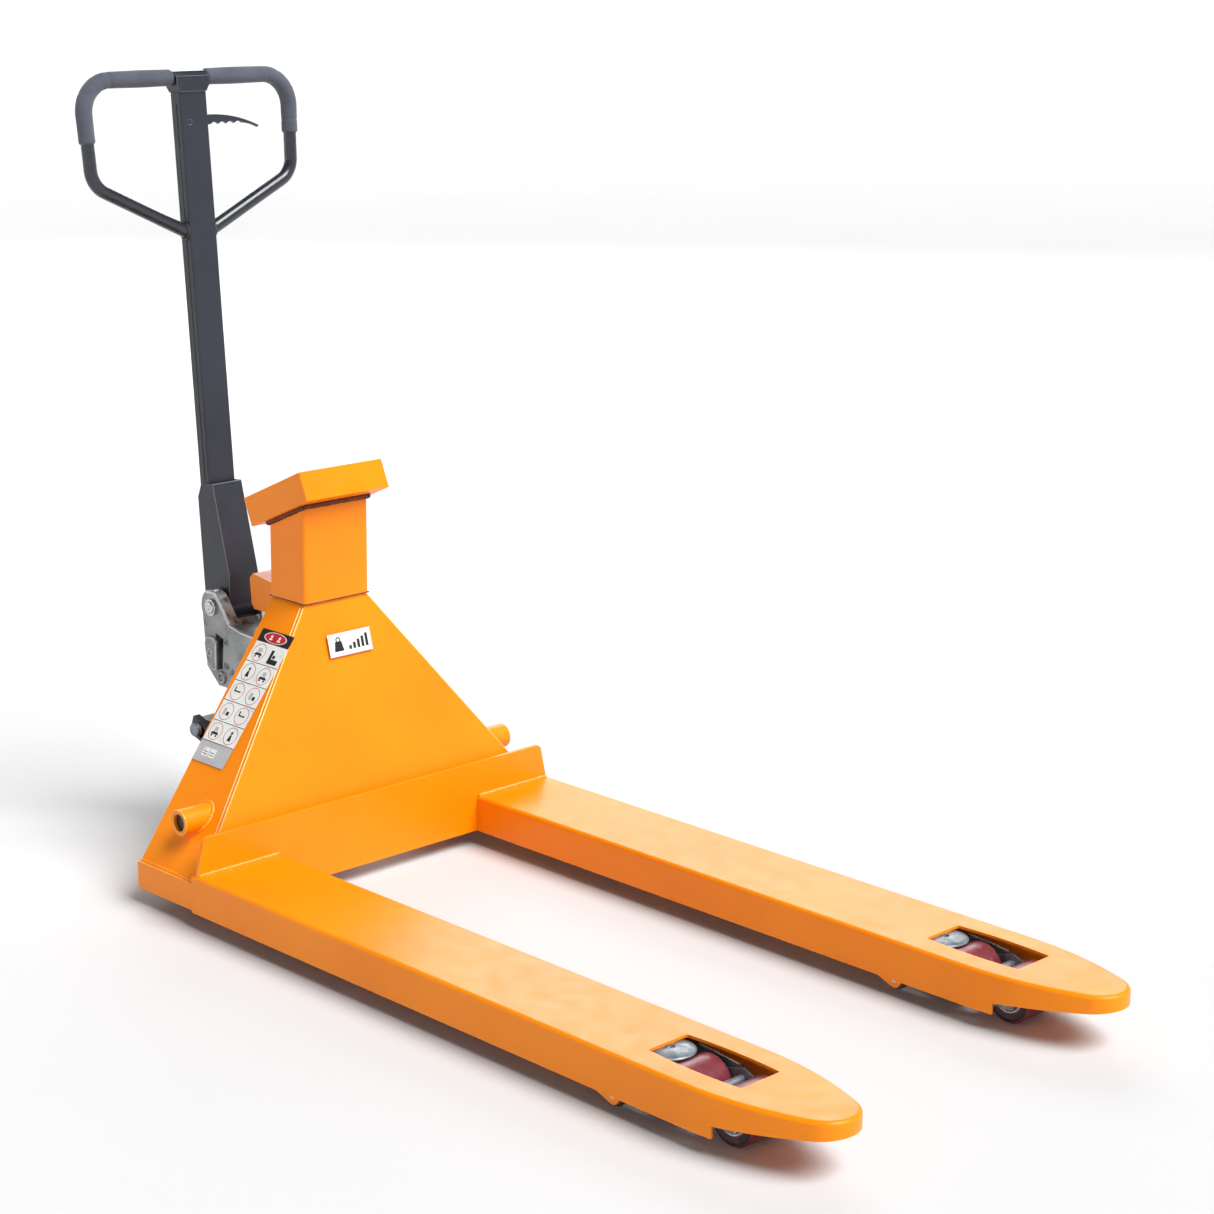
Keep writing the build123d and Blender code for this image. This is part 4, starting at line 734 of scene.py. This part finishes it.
# ---------------------------------------------------------------- pump, pins and bolts
# (radius, height) in millimetres, with height outwards from the face that the piece sits on
PROFILES = {
    "pin_clip": [(13, -1), (13, 1.4), (11.6, 1.8), (10.2, 1.4), (9.6, 0.3)],
    "pin_end": [(9.2, -1), (9.2, 1.6), (7.6, 3), (3.4, 3.2), (2.6, 2.0), (0, 1.8)],
    "lug": [(10.5, -3), (10.5, 2.2), (9.2, 3.2), (5.6, 3.2), (4.8, 2.4), (4.6, 0.6), (0, 0.6)],
    "lug_screw": [(3.8, 0), (3.8, 1.6), (3, 2.2), (1.2, 2.2), (0, 1.4)],
    "top_lug": [(4.6, -8), (4.6, 0.4), (3.6, 1.2), (0, 1.2)],
    "casting_mark": [(6.5, 0), (6.5, 0.9), (5.4, 0.9), (5.4, 0.2)],
    "carrier_bolt": [(10.5, -3), (10.5, 3.6), (9.2, 4.8), (0, 4.8)],
    "axle_nut": [(13, 0), (13, 4.4), (11.4, 5.2), (0, 5.2)],
    "wheel_bearing": [
        (24.5, -1), (24.5, 0.4), (23, 0.9), (20.6, 0.9), (20.2, -0.6),
        (16, -0.6), (15.6, 0.7), (11, 0.7), (11, -1),
    ],
    "wheel_lip": [(66.5, -0.8), (66.5, 0.5), (65, 1.1), (61.6, 1.1), (60.6, 0.2), (60.4, -0.8)],
    # dark ring on the load rollers' sides: painted shade inside the fork
    "roller_wall": [(32.4, -0.5), (32, 0.5), (29, 0.9), (28, 0.4), (24, 0.4), (22.4, -0.5)],
    "roller_bearing": [
        (22, -0.6), (22, 0.5), (20.8, 1.0), (18, 1.0), (17.6, 0.1),
        (12.6, 0.1), (12.2, 1.0), (9, 1.0), (9, -0.6),
    ],
    "yoke_dome": [
        (33.6, -1.2), (33.4, 0.2), (31, 1.4), (24, 2.7), (15, 3.5), (9, 3.8), (7, 3.6), (6, 2.6), (5.8, -3),
    ],
    "yoke_bolt": [(5.6, -5), (5.6, 0.4), (4.6, 1.4), (2.4, 1.4), (1.8, 0.2), (0, 0.2)],
}
ROUND, HEX = 48, 6
lug_x, lug_z = pivot_x + 22, 249
# piece, place on the left side, body, slot, material, segments, bevel
TURNED = (
    ("pin_clip", (pivot_x, 51, pivot_z), "pump", "bright_steel", steel, ROUND, 0.3),
    ("pin_end", (pivot_x, 51, pivot_z), "pump", "bright_steel", steel, ROUND, 0),
    ("lug", (lug_x, 48, lug_z), "pump", "galvanised", cast, ROUND, 0),
    ("lug_screw", (lug_x, 48.6, lug_z), "pump", "bright_steel", zinc, HEX, 0),
    ("top_lug", (pivot_x + 3, 47, pivot_z + 24), "pump", "galvanised", cast, ROUND, 0),
    # the mark's ring takes the lighter cast edge colour, a painted highlight
    ("casting_mark", (pivot_x - 2, 52.4, pivot_z - 72), "pump", "galvanised", cast_edge, ROUND, 0),
    ("carrier_bolt", (steer_x, 146, 199), "carrier", "bright_steel", zinc, ROUND, 0.4),
    ("axle_nut", (steer_x, 77, wheel_z), "pump", "bright_steel", zinc, HEX, 0.5),
    ("wheel_bearing", (steer_x, 72, wheel_z), "wheel_{}", "bright_steel", steel, ROUND, 0),
    ("wheel_lip", (steer_x, 72, wheel_z), "wheel_{}", "bright_steel", milled, ROUND, 0),
)
# in x and z from the pivot
CASTING_RIM = [(-13, 22), (4, 24.5), (20, 9.5), (45, -21), (74, -27), (112, -29)]
CASTING_BOSS = [(-17, -58), (-15, -74), (-10, -92), (2, -100), (13, -100), (13, -54), (4, -46), (-12, -48)]
ROLLERS = {"rear": 553, "front": 645}
roller_z, roller_half = 35, 33

for name, side in SIDES.items():
    for piece, (x, y, z), body, slot, material, segments, bevel in TURNED:
        turned(
            f"{piece}_{name}", PROFILES[piece], mm(x, side * y, z), (0, side, 0),
            body.format(name), slot, material, segments=segments, bevel=bevel,
        )
    # The casting's rim takes the lighter cast edge colour: a painted highlight along the raised rim.
    rim = spaced([mm(pivot_x + x, side * 47.8, pivot_z + z) for x, z in CASTING_RIM], 0.004)
    dressed(sweep(f"casting_rim_{name}", rim, 0.0026, 12), "pump", "galvanised", cast_edge)
    outline = [(pivot_x + x, pivot_z + z) for x, z in CASTING_BOSS]
    boss = slab(f"casting_boss_{name}", outline, side * 46, side * 52.5)
    dressed(boss, "pump", "galvanised", cast, cast_edge)
    soften(boss, 2.6, 3)

    hub = mm(steer_x, side * 62.5, wheel_z)
    for spoke in range(6):
        angle = math.radians(60 * spoke + 12)
        ray = Vector((math.cos(angle), 0, math.sin(angle)))
        ends = spaced([hub + ray * 0.0255, hub + ray * 0.0605], 0.005)
        rib = sweep(f"wheel_rib_{name}_{spoke + 1}", ends, 0.0032, 12)
        dressed(rib, f"wheel_{name}", "bright_steel", milled)

    for place, x in ROLLERS.items():
        body = f"load_roller_{place}_{name}"
        for face, label in ((1, "a"), (-1, "b")):
            end = mm(x, side * fork_y + face * roller_half, roller_z)
            tag = f"{place}_{name}_{label}"
            # Dark ring on each roller side: painted shade, the roller itself being red.
            turned(f"roller_wall_{tag}", PROFILES["roller_wall"], end, (0, face, 0),
                   body, "dark_polyurethane", tread)
            turned(f"roller_bearing_{tag}", PROFILES["roller_bearing"], end, (0, face, 0),
                   body, "bright_steel", steel)

    yoke = f"yoke_{name}"
    dome = mm(yoke_x + 46, side * fork_y, 72)
    turned(f"yoke_dome_{name}", PROFILES["yoke_dome"], dome, (0, 0, 1), yoke, "galvanised", zinc)
    turned(f"yoke_bolt_{name}", PROFILES["yoke_bolt"], dome, (0, 0, 1), yoke, "bright_steel", zinc)
    # Pale ribs along the yoke's cheeks, in the lighter zinc edge colour: painted highlights.
    for cheek, label in ((1, "a"), (-1, "b")):
        cheek_y = side * fork_y + cheek * 43
        ends = spaced([mm(yoke_x + 52, cheek_y, 69.6), mm(bogie_x - 10, cheek_y, 63.6)], 0.006)
        dressed(sweep(f"yoke_rib_{name}_{label}", ends, 0.0022, 10), yoke, "galvanised", zinc_edge)

# ---------------------------------------------------------------- indicator panel
INK, LINE = 0, 1
key_places = (-39, -13, 13, 39)
window_up, window_half, window_rise, frame_width = 28, 48, 19, 3
window_foot, window_top = window_up - window_rise, window_up + window_rise
frame_half = window_half + frame_width
panel_print = Plate((panel_centre + panel_out * 43.5) * MM, (0, -1, 0), panel_up)
panel_print.block(-frame_half, window_foot - frame_width, frame_half, window_foot, INK, 0.6)
panel_print.block(-frame_half, window_top, frame_half, window_top + frame_width, INK, 0.6)
panel_print.block(-frame_half, window_foot, -window_half, window_top, INK, 0.6)
panel_print.block(window_half, window_foot, frame_half, window_top, INK, 0.6)
for line_foot in (-14.6, -53.4):
    panel_print.block(-66, line_foot, 66, line_foot + 0.6, LINE, 0.15)
for place in key_places:
    panel_print.disc(place, -19, 1.2, LINE, 0.15, count=16)
# Dark crosses on the four screw heads at the panel's corners: painted shade in their cross recesses.
for x in (-69.5, 69.5):
    for y in (-65, 65):
        panel_print.block(x - 2.2, y - 0.45, x + 2.2, y + 0.45, INK, 1.5)
        panel_print.block(x - 0.45, y - 2.2, x + 0.45, y + 2.2, INK, 1.52)
panel_print.done("panel_print", "chassis", "panel_plastic", ink, vinyl)

FILM, DIGIT = 0, 1
ZERO_STROKES = (
    (-4.4, 9.2, 4.4, 10.8), (-4.4, -10.8, 4.4, -9.2),
    (-6.4, 0.6, -4.8, 9.6), (4.8, 0.6, 6.4, 9.6),
    (-6.4, -9.6, -4.8, -0.6), (4.8, -9.6, 6.4, -0.6),
)
display = Plate((panel_centre + panel_out * 40.5) * MM, (0, -1, 0), panel_up)
display.block(-45, window_up - 16.5, 45, window_up + 16.5, FILM, 0.2)
for place in (16, 32):
    for x0, y0, x1, y1 in ZERO_STROKES:
        display.block(place + x0, window_up + y0, place + x1, window_up + y1, DIGIT, 0.4)
display.block(23.2, window_up - 10.8, 25, window_up - 9, DIGIT, 0.4)
display.done("display_digits", "chassis", "window", lcd, ink)

key_row = panel_centre - panel_up * 34 + panel_out * 45
for number, place in enumerate(key_places, start=1):
    legend = Plate((key_row + Vector((0, place, 0))) * MM, (0, -1, 0), panel_up)
    if number == 1:
        legend.disc(0, 0, 3.4, INK, 0.15, inner=2.5, count=24)
        legend.block(-0.5, 0.6, 0.5, 4.6, INK, 0.18)
    elif number == 2:
        legend.area([(-3.2, -2.6), (3.2, -2.6), (0, 3.2)], INK, 0.15)
    elif number == 3:
        legend.block(-3.4, -0.6, 3.4, 0.6, INK, 0.15)
        legend.block(-0.6, -3.4, 0.6, 3.4, INK, 0.18)
    else:
        legend.block(-3.4, -2.6, 3.4, -1.4, INK, 0.15)
        legend.block(-3.4, 1.4, 3.4, 2.6, INK, 0.15)
    legend.done(f"key_mark_{number}", f"key_{number}", "key_rubber", ink)

# ---------------------------------------------------------------- studio
floor_material = Shader("pale_floor")
pale = floor_material.mix(floor_material.noise(1.5, 2.0), srgb(214, 214, 214), srgb(210, 210, 211))
floor_material.colour(pale)
floor_material.set(Roughness=0.8, Emission_Color=(1.0, 1.0, 1.0, 1.0))
height = floor_material.tree.nodes.new("ShaderNodeSeparateXYZ")
floor_material.link(floor_material.place, height.inputs["Vector"])
# the cove glows more with height, so that it stays pale behind the truck
glow = floor_material.band(height.outputs["Z"], 0.0, 3.0, 0.0, 0.5)
floor_material.link(glow, floor_material.bsdf.inputs["Emission Strength"])

cove_radius, cove_rise, cove_steps, cove_turn = 11.0, 7.0, 12, 80
cove = [(0.0, 0.0), (cove_radius, 0.0)]
for step in range(1, cove_steps + 1):
    angle = math.radians(cove_turn * step / cove_steps)
    cove.append((cove_radius + cove_rise * math.sin(angle), cove_rise * (1 - math.cos(angle))))
floor = surface_of_turn("floor", cove, (0, 0, -0.0005), (0, 0, 1), 96)
floor.data.materials.append(floor_material.material)
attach(floor, "carrier")  # the floor stays under the wheels when the forks are raised

world = bpy.data.worlds.new("studio")
bpy.context.scene.world = world
world.use_nodes = True
background = world.node_tree.nodes["Background"]
background.inputs["Color"].default_value = (1.0, 1.0, 1.0, 1.0)
background.inputs["Strength"].default_value = 0.12


def aimed(name, data, place, target):
    light = bpy.data.objects.new(name, data)
    light.location = place
    light.rotation_euler = (Vector(target) - Vector(place)).to_track_quat("-Z", "Y").to_euler()
    light.visible_camera = False
    bpy.context.scene.collection.objects.link(light)


def softbox(name, place, target, size, power):
    data = bpy.data.lights.new(name, "AREA")
    data.shape = "RECTANGLE"
    data.size, data.size_y = size
    data.energy = power
    aimed(name, data, place, target)


sky = bpy.data.lights.new("overhead", "SUN")
sky.energy = 4.4
sky.angle = math.radians(38)
aimed("overhead", sky, (5.6, 1.3, 8.0), (0, 0, 0))
softbox("back_glow", (-4.6, 4.8, 3.6), (0.0, 0.0, 0.2), (5.0, 2.6), 190)

# ---------------------------------------------------------------- camera
camera_data = bpy.data.cameras.new("camera")
camera_data.lens = 79.6
camera_data.sensor_width = 36.0
camera = bpy.data.objects.new("camera", camera_data)
bpy.context.scene.collection.objects.link(camera)
yaw, pitch, roll = math.radians(45.06), math.radians(14.44), math.radians(0.68)
look = Vector((-math.sin(yaw) * math.cos(pitch), math.cos(yaw) * math.cos(pitch), -math.sin(pitch)))
level = Vector((math.cos(yaw), math.sin(yaw), 0.0))
upright = level.cross(look)
right = level * math.cos(roll) + upright * math.sin(roll)
up = upright * math.cos(roll) - level * math.sin(roll)
aim = Matrix((right, up, -look)).transposed().to_4x4()
camera.matrix_world = Matrix.Translation((2.5953, -2.4637, 1.4048)) @ aim
bpy.context.scene.camera = camera
bpy.context.scene.view_settings.view_transform = "Standard"
